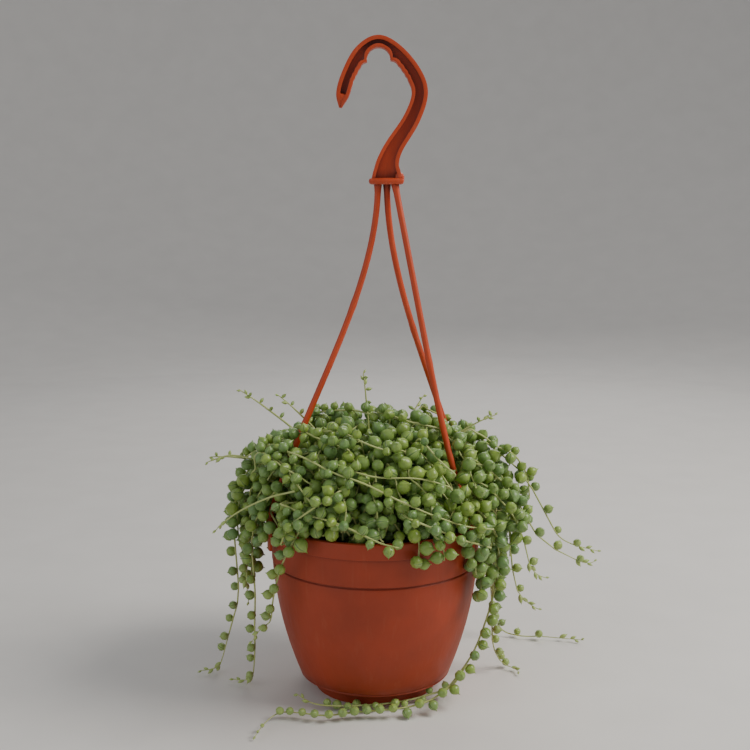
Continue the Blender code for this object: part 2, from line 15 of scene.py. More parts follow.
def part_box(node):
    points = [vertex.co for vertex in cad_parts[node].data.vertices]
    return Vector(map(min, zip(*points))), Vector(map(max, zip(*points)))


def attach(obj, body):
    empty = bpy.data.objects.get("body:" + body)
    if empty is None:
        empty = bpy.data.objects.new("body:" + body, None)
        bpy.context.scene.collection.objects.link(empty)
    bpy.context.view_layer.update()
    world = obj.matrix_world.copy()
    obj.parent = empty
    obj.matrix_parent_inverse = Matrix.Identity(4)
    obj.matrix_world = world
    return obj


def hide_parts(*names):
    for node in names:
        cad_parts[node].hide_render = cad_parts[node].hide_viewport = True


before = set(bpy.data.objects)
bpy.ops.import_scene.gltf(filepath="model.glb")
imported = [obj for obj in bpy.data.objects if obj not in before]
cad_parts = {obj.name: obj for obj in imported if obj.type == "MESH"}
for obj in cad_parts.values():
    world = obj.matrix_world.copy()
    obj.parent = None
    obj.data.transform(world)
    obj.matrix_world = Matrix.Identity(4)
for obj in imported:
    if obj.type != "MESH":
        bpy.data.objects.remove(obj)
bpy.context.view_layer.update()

bl_info = {
    "name": "Potted string of pearls",
    "version": (1, 0, 0),
    "blender": (4, 5, 0),
    "location": "3D View > Sidebar > Pearls",
    "description": "Builds a string-of-pearls plant in its hanging pot around the packed model",
    "category": "Add Mesh",
}

MM = 0.001
POT_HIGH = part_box("pot")[1]
SOIL_LOW, SOIL_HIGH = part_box("potting_soil")
STRANDS = sorted(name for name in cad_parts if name.startswith(("strand_", "shoot_")))

# Middle line of the hook from tip to plate: across, height, breadth of the band, in millimetres.
HOOK_LINE = (
    (-22.2, 387.0, 1.8),
    (-20.7, 395.2, 8.2),
    (-17.0, 406.9, 9.0),
    (-9.0, 420.6, 9.6),
    (1.6, 427.6, 8.4),
    (12.6, 422.2, 9.4),
    (23.7, 409.4, 10.2),
    (28.6, 396.2, 10.2),
    (23.4, 379.9, 10.8),
    (12.5, 362.8, 12.0),
    (8.4, 353.0, 14.4),
    (7.7, 346.0, 18.0),
    (7.7, 339.5, 21.0),
)
HOOK_STEPS = 8  # stations per span of the middle line
SOLID_TIP = 9  # stations at the tip that have no recess
SOLID_FOOT = 4  # and at the plate
# Rounded seat inside the top of the hook, with small teeth on both sides of it.
SEAT_MIDDLE = Vector((0.0023, 0.4169))
SEAT_R = 0.0075
TEETH = (*range(15, 22, 2), *range(43, 51, 2))
TOOTH = 0.00038
# Each leg: where it leaves the plate, the clip's bearing in degrees, and how far it is bowed.
LEGS = ((1.9, 0.0, 200.0, 1.0), (7.7, 2.5, 30.0, 1.0), (12.8, -1.5, -32.0, 0.0))
LEG_BOW = 2.15  # how late a bowed leg turns outwards
LEG_FLARE = 0.15  # how much of a straight leg's spread comes in its last stretch
LEG_TOP = 0.3395
LEG_END = 0.1215
LEG_STEPS = 36
# The plate under the hook and the rounded corner on its right: middle, size and rounding, in metres.
PLATE_BLOCKS = (
    ("plate", (0.0073, 0.0, 0.3406), (0.0226, 0.0126, 0.0042), 0.0017),
    ("plate_corner", (0.0157, 0.0, 0.3425), (0.0064, 0.0096, 0.0078), 0.0028),
)

WALL_STEPS = 14
DRAIN_SIDES = 28

SOIL_SIDES = 72
CROWN_ROWS = 16
SOIL_GAP = 0.0009  # air between the soil and the pot's wall
SOIL_CROWN = 0.0026
SOIL_LUMPS = 0.0006

# The mound of leaves: half its width at the side, in front and at the back, its foot and its rise.
MOUND_SIDE = 0.095
MOUND_FRONT = 0.077
MOUND_BACK = 0.086
MOUND_FOOT = 0.118
MOUND_RISE = 0.066
HEART = Vector((0.0, 0.0, 0.13))  # middle of the mound, which runners are lifted away from
GOLDEN_TURN = math.pi * (3.0 - math.sqrt(5.0))  # radians between neighbouring inner strands
STATION = 0.0016  # metres between stations along a stem
STEM_SIDES = 6
PEARL_SIDES = 9
# Rows of a pearl of radius 1 from stalk to point: height and radius.
PEARL_ROWS = ((-0.86, 0.40), (-0.52, 0.84), (0.0, 1.0), (0.46, 0.87), (0.84, 0.50), (1.08, 0.16))
PEARL_BASE = -1.07
PEARL_TIP = 1.46
CROWDING = 0.93  # how far a leaf's middle keeps from another's skin, as a share of its radius
WAYS_TRIED = 7  # ways off a stem that are tried for a leaf
BARE_LEG = (0.155, 0.182)  # heights between which the front leg stands clear of the leaves

# Long pale runners that lie over the mound: way points on its surface, in millimetres.
RUNNERS = {
    "across": (
        (-61, -29, 169), (-41, -50, 167), (-25, -63, 162), (-6, -70, 157),
        (12, -74, 149), (34, -74, 139), (56, -68, 130), (76, -55, 124),
    ),
    "upper_left": ((-74, -8, 162), (-60, -18, 172), (-45, -26, 178), (-34, -39, 177), (-16, -51, 173)),
    "far_upper_left": ((-86, -6, 158), (-66, -20, 168), (-52, -34, 168), (-46, -44, 160)),
    "crown": ((-40, 10, 184), (-22, 0, 187), (3, -14, 189), (19, -24, 185), (36, -25, 182), (46, -19, 180)),
    "middle": ((-38, -30, 178), (-22, -38, 180), (0, -51, 174), (19, -51, 173)),
    "left": ((-82, -14, 150), (-70, -26, 165), (-53, -50, 161), (-40, -60, 154)),
    "low_left": ((-60, -60, 142), (-42, -72, 138), (-18, -79, 133), (3, -82, 124), (17, -84, 121)),
    "centre": ((-24, -58, 166), (-2, -64, 160), (26, -64, 158), (44, -60, 152)),
    "steep_left": ((-62, -40, 166), (-52, -52, 158), (-42, -62, 148), (-36, -68, 142)),
    "rim_left": ((-20, -68, 152), (-36, -72, 142), (-50, -68, 130), (-56, -64, 118)),
    "low_right": ((20, -78, 138), (38, -75, 130), (56, -69, 121), (74, -60, 113)),
    "right": ((27, -40, 178), (33, -46, 173), (39, -52, 167), (50, -56, 158)),
    "back_left": ((-20, 40, 180), (-40, 55, 165), (-58, 62, 145), (-70, 62, 124)),
    "back_across": ((60, 40, 166), (40, 62, 156), (14, 76, 146), (-14, 82, 132)),
    "back_right": ((30, 24, 184), (54, 38, 170), (72, 44, 150), (84, 44, 126)),
    "side_right": ((62, -6, 178), (80, 2, 162), (92, 12, 142), (98, 20, 122)),
}
# Tips that stick out of the mound or lie on the ground, free of it: way points from where they leave it.
LOOSE_TIPS = {
    "left_point": ((-50, -60, 150), (-66, -56, 145), (-84, -48, 135), (-98, -42, 124), (-103, -40, 118)),
    "far_left": ((-84, -10, 160), (-96, -8, 161), (-106, -6, 158), (-113, -4, 155)),
    "front_branch": (
        (60, -40, 28), (50, -38, 12), (37, -34, 5), (17, -43, 4), (-8, -49, 4), (-37, -50, 5),
        (-52, -42, 9),
    ),
}


# ---------------------------------------------------------------- sizes and colours

def length(name, about, size):
    """A setting in millimetres, kept as a length."""
    return FloatProperty(name=name, description=about, default=size * MM, unit="LENGTH")


def hex_colour(name, about, code):
    """A setting that holds an sRGB hex colour."""
    return StringProperty(name=name, description=about, default=code)


def count(name, about, number, least=0):
    return IntProperty(name=name, description=about, default=number, min=least)


class PotSettings(PropertyGroup):
    foot: length("Foot radius", "Radius of the pot's foot", 41.0)
    ledge_z: length("Ledge height", "Height of the ledge over the foot", 10.5)
    ledge: length("Ledge radius", "Radius of the body at the ledge", 51.0)
    groove_z: length("Groove height", "Height of the line round the body", 89.4)
    groove: length("Groove radius", "Radius of the body at the line", 69.4)
    band: length("Band radius", "Radius of the band under the collar", 69.8)
    collar_z: length("Collar height", "Height of the collar's lower edge", 108.4)
    mouth: length("Mouth radius", "Inside radius at the rim", 68.2)
    wall: length("Wall", "Thickness of the wall", 1.7)
    floor: length("Floor", "Thickness of the pot's floor", 2.0)
    bulge: length("Bulge", "Swelling of the wall", 3.4)
    drain: length("Drain radius", "Radius of a drain hole", 3.0)
    drain_ring: length("Drain ring", "Radius of the ring of drain holes", 26.0)
    drains: count("Drains", "Drain holes in the floor", 6)
    sides: count("Sides", "Facets round the pot", 144, 24)
    colour: hex_colour("Colour", "Hex colour of the plastic", "#9C3819")
    dust: hex_colour("Dust", "Hex colour of dry soil dust on it", "#B98468")


class HangerSettings(PropertyGroup):
    leg: length("Leg radius", "Radius of the three legs", 2.05)
    flange: length("Flange", "Width of the hook's raised edge", 2.6)
    depth: length("Depth", "Depth of the hook's band", 9.0)
    web: length("Web", "Thickness of the web", 2.2)
    clip_width: length("Clip width", "Width of a clip", 5.6)
    clip: length("Clip thickness", "Thickness of a clip", 2.2)
    clip_gap: length("Clip gap", "Air between a clip and the pot's collar", 0.4)
    colour: hex_colour("Colour", "Hex colour of the plastic", "#BC4520")
    dust: hex_colour("Dust", "Hex colour of dry dust on it", "#C98E70")


class SoilSettings(PropertyGroup):
    crumb: length("Crumb", "Size of a crumb of peat", 1.6)
    density: FloatProperty(name="Density", description="Crumbs per square metre", default=90000.0, min=0.0)
    seed: count("Seed", "Random seed of the crumbs", 7)
    colour: hex_colour("Colour", "Hex colour of the damp peat", "#2E2018")
    dry: hex_colour("Dry colour", "Hex colour of drier patches", "#5B4433")


class FoliageSettings(PropertyGroup):
    stem: length("Stem radius", "Radius of a grown stem", 0.68)
    pearl: length("Pearl radius", "Radius of a grown pearl", 4.5)
    inner: count("Inner strands", "Short strands inside the mound", 64)
    seed: count("Seed", "Random seed of the added leaves", 11)
    leaf: hex_colour("Leaf", "Hex colour of a grown pearl", "#8CA648")
    leaf_young: hex_colour("Young leaf", "Hex colour of a young pearl", "#A9BC6C")
    leaf_blue: hex_colour("Shaded leaf", "Hex colour of a bluish pearl", "#6F9154")
    window: hex_colour("Window", "Hex colour of the clear line on a pearl", "#476B36")
    stem_colour: hex_colour("Stem", "Hex colour of the stems", "#B4C072")


class StageSettings(PropertyGroup):
    floor: FloatVectorProperty(
        name="Floor", description="Colour of the floor", subtype="COLOR", default=(0.72, 0.7, 0.67))
    key: FloatProperty(
        name="Key light", description="Power of the main soft light", default=17.0, unit="POWER")
    fill: FloatProperty(
        name="Fill light", description="Power of the other soft lights", default=4.5, unit="POWER")
    room: FloatProperty(name="Room light", description="Strength of the even light all round", default=0.35)


# ---------------------------------------------------------------- materials

def linear(code):
    """A hex colour, as seen on screen, as the linear colour that a shader takes."""
    made = []
    for i in (1, 3, 5):
        value = int(code[i : i + 2], 16) / 255.0
        made.append(value / 12.92 if value <= 0.04045 else ((value + 0.055) / 1.055) ** 2.4)
    return (*made, 1.0)


def add(tree, kind, values=None, links=None, **settings):
    """A node of this kind with its settings, its inputs' values and the sockets that feed it."""
    made = tree.nodes.new(kind)
    for key, value in settings.items():
        setattr(made, key, value)
    for key, value in (values or {}).items():
        made.inputs[key].default_value = value
    for key, socket in (links or {}).items():
        tree.links.new(socket, made.inputs[key])
    return made


def new_material(name):
    """A material with nothing in it but the shader and the output."""
    made = bpy.data.materials.new(name)
    made.use_nodes = True
    tree = made.node_tree
    return made, tree, tree.nodes["Principled BSDF"]


def noise(tree, place, size, detail=3.0, rough=0.5):
    """Noise whose blobs are about this many metres across."""
    return add(tree, "ShaderNodeTexNoise", {"Scale": 1.0 / size, "Detail": detail, "Roughness": rough},
               {"Vector": place})


def span(tree, socket, low, high, to_low=0.0, to_high=1.0):
    """A value moved from one range to another and kept inside it."""
    return add(tree, "ShaderNodeMapRange",
               {"From Min": low, "From Max": high, "To Min": to_low, "To Max": to_high},
               {"Value": socket}).outputs["Result"]


def blended(tree, share, first, second):
    """Two colours mixed by a share; each is a hex code or a socket."""
    made = add(tree, "ShaderNodeMix", data_type="RGBA")
    tree.links.new(share, made.inputs[0])
    for socket, colour in ((made.inputs[6], first), (made.inputs[7], second)):
        if isinstance(colour, str):
            socket.default_value = linear(colour)
        else:
            tree.links.new(colour, socket)
    return made.outputs[2]


def bumped(tree, shader, height, strength, distance):
    """Gives a shader a bump of this depth in metres."""
    bump = add(tree, "ShaderNodeBump", {"Strength": strength, "Distance": distance}, {"Height": height})
    tree.links.new(bump.outputs["Normal"], shader.inputs["Normal"])


def moulded_polypropylene(name, colour, dust, rough, scuffs):
    """Injection-moulded polypropylene: a faintly pebbled satin skin, flow clouds, dry dust and painted
    shade in recesses.
    """
    made, tree, shader = new_material(name)
    place = add(tree, "ShaderNodeTexCoord").outputs["Object"]
    clouds = noise(tree, place, 0.03, 4.0, 0.55).outputs["Fac"]
    grain = noise(tree, place, 0.0011, 2.0, 0.6).outputs["Fac"]
    flow = add(tree, "ShaderNodeMapping", {"Scale": (1.0, 1.0, 0.12)}, {"Vector": place})
    streaks = noise(tree, flow.outputs["Vector"], 0.004, 3.0, 0.6).outputs["Fac"]
    tone = add(tree, "ShaderNodeHueSaturation", {"Color": linear(colour)},
               {"Value": span(tree, clouds, 0.3, 0.7, 0.86, 1.1)})
    dusty = add(tree, "ShaderNodeMath", links={0: span(tree, streaks, 0.56, 0.78, 0.0, scuffs), 1: clouds},
                operation="MULTIPLY")
    # Painted shade: ambient occlusion darkens the colour towards a shade brown in recesses and corners.
    painted_recess_shade_ao = add(tree, "ShaderNodeAmbientOcclusion", {"Distance": 0.006}, samples=6, only_local=True)
    shade = add(tree, "ShaderNodeMix", {0: 1.0}, data_type="RGBA", blend_type="MULTIPLY")
    tree.links.new(blended(tree, dusty.outputs[0], tone.outputs["Color"], dust), shade.inputs[6])
    lit = span(tree, painted_recess_shade_ao.outputs["AO"], 0.3, 0.95)
    # 7A4A3C is the painted shade colour, mixed in where the occlusion is deep.
    tree.links.new(blended(tree, lit, "#7A4A3C", "#FFFFFF"), shade.inputs[7])
    tree.links.new(shade.outputs[2], shader.inputs["Base Color"])
    tree.links.new(span(tree, streaks, 0.3, 0.75, rough - 0.06, rough + 0.12), shader.inputs["Roughness"])
    shader.inputs["IOR"].default_value = 1.49
    shader.inputs["Specular IOR Level"].default_value = 0.42
    bumped(tree, shader, grain, 0.28, 0.00008)
    return made


def damp_peat(name, colour, dry):
    """Damp peat compost: dark brown, matt, with paler dry fibre, crumbled by hand into the pot."""
    made, tree, shader = new_material(name)
    place = add(tree, "ShaderNodeTexCoord").outputs["Object"]
    lumps = noise(tree, place, 0.004, 6.0, 0.7).outputs["Fac"]
    fibre = 0.0016  # metres from one fibre to the next
    strands = add(tree, "ShaderNodeTexVoronoi", {"Scale": 1.0 / fibre}, {"Vector": place})
    share = span(tree, lumps, 0.4, 0.72)
    tree.links.new(blended(tree, share, colour, dry), shader.inputs["Base Color"])
    shader.inputs["Roughness"].default_value = 0.92
    both = add(tree, "ShaderNodeMath", links={0: lumps, 1: strands.outputs["Distance"]}, operation="ADD")
    bumped(tree, shader, both.outputs[0], 0.7, 0.0008)
    return made


def attribute(tree, name):
    return add(tree, "ShaderNodeAttribute", attribute_name=name).outputs["Fac"]


def succulent_leaf(settings):
    """A fleshy pearl leaf: waxy skin with a dull bloom, a clear dark window line and a dry point."""
    made, tree, shader = new_material("succulent_leaf")
    place = add(tree, "ShaderNodeTexCoord").outputs["Object"]
    tint = attribute(tree, "tint")
    young = attribute(tree, "young")
    window = attribute(tree, "window")
    polar = attribute(tree, "polar")
    mottle = noise(tree, place, 0.0028, 3.0, 0.6).outputs["Fac"]
    bloom = noise(tree, place, 0.009, 2.0, 0.5).outputs["Fac"]
    green = blended(tree, span(tree, tint, 0.0, 1.0), settings.leaf_blue, settings.leaf)
    green = blended(tree, young, green, settings.leaf_young)
    shade = span(tree, mottle, 0.3, 0.7, 0.86, 1.14)
    green = add(tree, "ShaderNodeHueSaturation", links={"Color": green, "Value": shade}).outputs["Color"]
    # The window: a thin clear line from stalk to point, with a paler edge on each side of it.
    edge = span(tree, window, 0.45, 0.78, 0.0, 0.4)
    green = blended(tree, edge, green, settings.leaf_young)
    green = blended(tree, span(tree, window, 0.8, 0.9, 0.0, 0.85), green, settings.window)
    green = blended(tree, span(tree, polar, 0.955, 1.0, 0.0, 0.7), green, "#8C8A4E")
    tree.links.new(green, shader.inputs["Base Color"])
    tree.links.new(span(tree, bloom, 0.35, 0.7, 0.27, 0.42), shader.inputs["Roughness"])
    shader.inputs["IOR"].default_value = 1.45
    shader.inputs["Coat Weight"].default_value = 0.2
    shader.inputs["Coat Roughness"].default_value = 0.3
    shader.inputs["Subsurface Weight"].default_value = 0.12
    shader.inputs["Subsurface Radius"].default_value = (0.35, 1.0, 0.2)
    shader.inputs["Subsurface Scale"].default_value = 0.0012
    bumped(tree, shader, mottle, 0.16, 0.00025)
    return made


def green_stem(settings):
    """A live stem: smooth pale yellow-green skin, browner and faintly ridged where it is old."""
    made, tree, shader = new_material("green_stem")
    place = add(tree, "ShaderNodeTexCoord").outputs["Object"]
    young = attribute(tree, "young")
    patches = noise(tree, place, 0.006, 3.0, 0.6).outputs["Fac"]
    old = blended(tree, span(tree, patches, 0.35, 0.7), settings.stem_colour, "#8A7F4C")
    fresh = blended(tree, span(tree, patches, 0.35, 0.7), settings.stem_colour, "#BCC486")
    tree.links.new(blended(tree, young, old, fresh), shader.inputs["Base Color"])
    shader.inputs["Roughness"].default_value = 0.5
    shader.inputs["IOR"].default_value = 1.42
    ridges = noise(tree, place, 0.0007, 2.0, 0.5).outputs["Fac"]
    bumped(tree, shader, ridges, 0.3, 0.0001)
    return made


def painted_floor(colour):
    """Matt painted board, pale and even, with the slightest mottling of a rolled finish."""
    made, tree, shader = new_material("painted_floor")
    place = add(tree, "ShaderNodeTexCoord").outputs["Object"]
    mottle = noise(tree, place, 0.05, 2.0, 0.5).outputs["Fac"]
    tone = add(tree, "ShaderNodeHueSaturation", {"Color": (*colour, 1.0)},
               {"Value": span(tree, mottle, 0.3, 0.7, 0.98, 1.02)})
    tree.links.new(tone.outputs["Color"], shader.inputs["Base Color"])
    shader.inputs["Roughness"].default_value = 0.85
    return made


# ---------------------------------------------------------------- shapes

def mesh_object(name, points, faces, smooth=True):
    """A new object at the origin from points in metres, with its faces turned outwards."""
    mesh = bpy.data.meshes.new(name)
    mesh.from_pydata([tuple(p) for p in points], [], faces)
    bm = bmesh.new()
    bm.from_mesh(mesh)
    bmesh.ops.remove_doubles(bm, verts=bm.verts, dist=1e-7)
    bmesh.ops.recalc_face_normals(bm, faces=bm.faces)
    bm.to_mesh(mesh)
    bm.free()
    mesh.polygons.foreach_set("use_smooth", [smooth] * len(mesh.polygons))
    made = bpy.data.objects.new(name, mesh)
    bpy.context.scene.collection.objects.link(made)
    return made


def settle(obj, angle=None):
    """Turns an object with modifiers into a plain mesh of the same name."""
    graph = bpy.context.evaluated_depsgraph_get()
    shaped = obj.evaluated_get(graph)
    mesh = bpy.data.meshes.new_from_object(shaped, preserve_all_data_layers=True, depsgraph=graph)
    name = obj.name
    bpy.data.objects.remove(obj, do_unlink=True)
    mesh.name = name
    made = bpy.data.objects.new(name, mesh)
    bpy.context.scene.collection.objects.link(made)
    if angle is not None:
        mesh.polygons.foreach_set("use_smooth", [True] * len(mesh.polygons))
        mesh.set_sharp_from_angle(angle=math.radians(angle))
    return made


def finish_piece(obj, made_of, slot, *nodes):
    """Gives a piece its material and its body, and hides the CAD nodes that it stands in for."""
    if made_of:
        obj.data.materials.clear()
        obj.data.materials.append(made_of)
    if nodes:
        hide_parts(*nodes)
    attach(obj, "root")
    return obj


def bevelled(obj, width, segments=2, angle=40.0):
    made = obj.modifiers.new("edge", "BEVEL")
    made.width = width
    made.segments = segments
    made.limit_method = "ANGLE"
    made.angle_limit = math.radians(angle)
    made.use_clamp_overlap = True
    return obj


def ring_faces(rings, sides):
    """Faces of a closed skin over rings of points, with its two ends capped."""
    faces = [tuple(range(sides)), tuple(range((rings - 1) * sides, rings * sides))]
    for i in range(rings - 1):
        for k in range(sides):
            j = (k + 1) % sides
            faces.append((i * sides + k, i * sides + j, (i + 1) * sides + j, (i + 1) * sides + k))
    return faces


def rounded(corners, steps=3):
    """An outline of (across, height, fillet) corners with each corner rounded."""
    made = []
    for i, (x, z, fillet) in enumerate(corners):
        here = Vector((x, z))
        if fillet == 0.0 or i in (0, len(corners) - 1):
            made.append(here)
            continue
        before = Vector(corners[i - 1][:2]) - here
        after = Vector(corners[i + 1][:2]) - here
        a = here + before.normalized() * min(fillet, before.length * 0.45)
        b = here + after.normalized() * min(fillet, after.length * 0.45)
        for k in range(steps + 1):
            t = k / steps
            made.append(a * (1 - t) ** 2 + here * 2 * t * (1 - t) + b * t * t)
    return made


def spline(points, steps):
    """Points along a Catmull-Rom curve through the given ones."""
    points = [Vector(p) for p in points]
    ends = [points[0] * 2.0 - points[1], *points, points[-1] * 2.0 - points[-2]]
    made = []
    for i in range(len(points) - 1):
        a, b, c, d = ends[i : i + 4]
        for k in range(steps):
            t = k / steps
            made.append(0.5 * (2.0 * b + (c - a) * t + (2.0 * a - 5.0 * b + 4.0 * c - d) * t * t
                               + (3.0 * b - a - 3.0 * c + d) * t**3))
    return [*made, points[-1]]


def evenly(line, step):
    """The line again, with a station about every step, its ends kept."""
    lengths = [0.0]
    for a, b in zip(line, line[1:]):
        lengths.append(lengths[-1] + (b - a).length)
    count = max(2, round(lengths[-1] / step))
    made = []
    i = 0
    for k in range(count + 1):
        along = lengths[-1] * k / count
        while i < len(line) - 2 and lengths[i + 1] < along:
            i += 1
        gap = lengths[i + 1] - lengths[i]
        made.append(line[i].lerp(line[i + 1], (along - lengths[i]) / gap if gap > 0.0 else 0.0))
    return made


# ---------------------------------------------------------------- pot

def pot_wall(pot, height):
    """Outside radius of the pot's body between ledge and groove."""
    share = (height - pot.ledge_z) / (pot.groove_z - pot.ledge_z)
    return pot.ledge + (pot.groove - pot.ledge) * share + 4.0 * pot.bulge * share * (1.0 - share)


def pot_outline(pot):
    """Outline of the pot's wall from the middle of its underside, up the outside and down the inside.

    Each corner is (radius, height, fillet).
    """
    rim = POT_HIGH.z
    collar = POT_HIGH.x
    first = pot.ledge_z + 0.0018
    rise = pot.groove_z - 0.0012 - first
    heights = [first + rise * i / WALL_STEPS for i in range(WALL_STEPS + 1)]
    inner_foot = pot.foot - pot.wall
    inner_ledge = pot.ledge_z + pot.wall
    corners = [
        # The underside is hollowed a little, so that the pot stands on a ring.
        (0.0, 0.0009, 0.0),
        (pot.foot - 0.0042, 0.0009, 0.0004),
        (pot.foot - 0.0036, 0.0, 0.0003),
        (pot.foot, 0.0, 0.0008),
        (pot.foot + 0.0004, pot.ledge_z, 0.0006),
        # A thin bead runs round the body's lower edge.
        (pot.ledge + 0.0001, pot.ledge_z, 0.0004),
        (pot.ledge + 0.0004, pot.ledge_z + 0.0007, 0.0004),
        (pot.ledge, pot.ledge_z + 0.0012, 0.0003),
    ]
    corners += [(pot_wall(pot, z), z, 0.0) for z in heights]
    corners += [
        (pot.groove - 0.0002, pot.groove_z - 0.0007, 0.0003),
        (pot.groove - 0.0009, pot.groove_z - 0.0001, 0.0003),
        (pot.groove - 0.0009, pot.groove_z + 0.0005, 0.0003),
        (pot.band, pot.groove_z + 0.0010, 0.0005),
        (pot.band, pot.collar_z, 0.0006),
        (collar, pot.collar_z, 0.0009),
        (collar, rim - 0.0018, 0.0),
        (collar, rim, 0.0014),
        (pot.mouth, rim, 0.0009),
        (pot.mouth, rim - 0.002, 0.0),
    ]
    corners += [(pot_wall(pot, z) - pot.wall, z, 0.0) for z in reversed(heights[1:])]
    corners += [
        (pot.ledge - pot.wall, inner_ledge, 0.0012),
        (inner_foot, inner_ledge, 0.0006),
        (inner_foot, pot.floor, 0.0008),
        (0.0, pot.floor, 0.0),
    ]
    return rounded(corners)


def turned(name, outline, sides):
    """A solid of revolution from an outline of (radius, height) points that starts and ends on the axis."""
    rows = len(outline)
    points = []
    for i in range(sides):
        turn = math.tau * i / sides
        points += [(p.x * math.cos(turn), p.x * math.sin(turn), p.y) for p in outline]
    faces = []
    for i in range(sides):
        j = (i + 1) % sides
        for k in range(rows - 1):
            faces.append((i * rows + k, j * rows + k, j * rows + k + 1, i * rows + k + 1))
    return mesh_object(name, points, faces)


def drain_cutter(pot):
    """Round pins that cut the drain holes through the pot's floor."""
    points = []
    faces = []
    for i in range(pot.drains):
        turn = math.tau * (i + 0.5) / pot.drains
        x = pot.drain_ring * math.cos(turn)
        y = pot.drain_ring * math.sin(turn)
        first = len(points)
        for height in (-0.001, pot.floor + 0.001):
            for k in range(DRAIN_SIDES):
                a = math.tau * k / DRAIN_SIDES
                points.append((x + pot.drain * math.cos(a), y + pot.drain * math.sin(a), height))
        faces += [tuple(first + v for v in face) for face in ring_faces(2, DRAIN_SIDES)]
    return mesh_object("drain_cutter", points, faces)


class PEARLS_OT_pot(Operator):
    """Turns the pot from its outline and cuts its drain holes."""

    bl_idname = "pearls.pot"
    bl_label = "Pot"

    def execute(self, context):
        settings = context.scene.pearls_pot
        pot = turned("terracotta_pot", pot_outline(settings), settings.sides)
        cutter = drain_cutter(settings)
        cut = pot.modifiers.new("drains", "BOOLEAN")
        cut.operation = "DIFFERENCE"
        cut.solver = "EXACT"
        cut.object = cutter
        pot = settle(pot, 32.0)
        bpy.data.objects.remove(cutter, do_unlink=True)
        plastic = moulded_polypropylene(
            "moulded_terracotta_polypropylene", settings.colour, settings.dust, rough=0.5, scuffs=0.2)
        finish_piece(pot, plastic, "pot", "pot")
        return {"FINISHED"}


# ---------------------------------------------------------------- hanger

def seat_reach(here, normal, half):
    """How far the hook's band reaches inwards, round the seat that the hook hangs by."""
    if here.y < SEAT_MIDDLE.y - 0.002:
        return half
    to_middle = SEAT_MIDDLE - here
    along = to_middle.dot(normal)
    across = to_middle.length_squared - along * along
    off = (here + normal * half - SEAT_MIDDLE).length - SEAT_R
    if off < 0.0012 and across < SEAT_R * SEAT_R:
        return along - math.sqrt(SEAT_R * SEAT_R - across)
    # The band swells towards the seat's two corners.
    return half + 0.0006 * math.exp(-((max(0.0, off) / 0.0026) ** 2))


def hook_tool(settings):
    """The hook: a band with raised edges and a thin web, closed round its tip, notched along its seat."""
    line = spline([Vector((x, z, w)) * MM for x, z, w in HOOK_LINE], HOOK_STEPS)
    last = len(line) - 1
    points = []
    for i, here in enumerate(line):
        ahead = line[min(i + 1, last)] - line[max(i - 1, 0)]
        normal = Vector((ahead.y, -ahead.x)).normalized()
        half = here.z / 2.0
        inner = max(half - settings.flange, half * 0.3)
        depth = settings.depth / 2.0 * min(1.0, 0.5 + 0.08 * i)
        solid = i < SOLID_TIP or i > last - SOLID_FOOT
        web = depth - 0.0003 if solid else settings.web / 2.0
        seat = seat_reach(Vector((here.x, here.y)), normal, half)
        if i in TEETH:
            seat -= TOOTH
        lip = max(seat - settings.flange * 0.86, half * 0.2)
        outline = (
            (-half, -depth), (-inner, -depth), (-inner, -web), (lip, -web), (lip, -depth), (seat, -depth),
            (seat, depth), (lip, depth), (lip, web), (-inner, web), (-inner, depth), (-half, depth),
        )
        for across, deep in outline:
            points.append((here.x + normal.x * across, deep, here.y + normal.y * across))
    return mesh_object("hook_tool", points, ring_faces(len(line), len(outline)), smooth=False)


def clip_radius(settings):
    """Distance from the pot's axis to the middle of a clip's strap."""
    return POT_HIGH.x + settings.clip_gap + settings.clip / 2.0


def leg_line(settings, start_x, start_y, bearing, bow):
    """Middle line of a leg from the plate down to its clip."""
    turn = math.radians(bearing)
    radius = clip_radius(settings)
    start = Vector((start_x * MM, start_y * MM, LEG_TOP))
    end = Vector((radius * math.cos(turn), radius * math.sin(turn), LEG_END))
    line = []
    for i in range(LEG_STEPS + 1):
        t = i / LEG_STEPS
        bowed = LEG_BOW * t**2 + (1.0 - LEG_BOW) * t**3
        straight = (1.0 - LEG_FLARE) * t + LEG_FLARE * t**6
        place = start.lerp(end, bow * bowed + (1.0 - bow) * straight)
        line.append(Vector((place.x, place.y, start.z + (end.z - start.z) * t)))
    return line


def leg_radii(settings, line, mark):
    """Radius of a leg at each station: thicker at its root, with a raised ring at one station."""
    radii = []
    for k, here in enumerate(line):
        root = 1.0 + 0.35 * math.exp(-(((line[0] - here).length / 0.004) ** 2))
        ring = 0.12 if k == mark else 0.0
        radii.append(settings.leg * (root + ring))
    return radii


def tube(name, line, radii, sides):
    """A closed tube along a line, with a radius at each station."""
    points = []
    for i, here in enumerate(line):
        ahead = (line[min(i + 1, len(line) - 1)] - line[max(i - 1, 0)]).normalized()
        across = ahead.cross(Vector((0.0, 1.0, 0.0))).normalized()
        out = ahead.cross(across)
        for k in range(sides):
            a = math.tau * (k + 0.5) / sides
            points.append(here + (across * math.cos(a) + out * math.sin(a)) * radii[i])
    return mesh_object(name, points, ring_faces(len(line), sides))


def block(name, centre, size, turn, edge):
    """A box turned about Z, its size along the turned X, the turned Y and Z, with its edges rounded."""
    across = Vector((math.cos(turn), math.sin(turn), 0.0))
    along = Vector((-math.sin(turn), math.cos(turn), 0.0))
    points = []
    for sx in (-0.5, 0.5):
        for sy in (-0.5, 0.5):
            for sz in (-0.5, 0.5):
                offset = across * size[0] * sx + along * size[1] * sy
                points.append(Vector(centre) + offset + Vector((0.0, 0.0, size[2] * sz)))
    faces = [(0, 1, 3, 2), (4, 6, 7, 5), (0, 4, 5, 1), (2, 3, 7, 6), (0, 2, 6, 4), (1, 5, 7, 3)]
    return settle(bevelled(mesh_object(name, points, faces, smooth=False), edge, 2, 30.0))


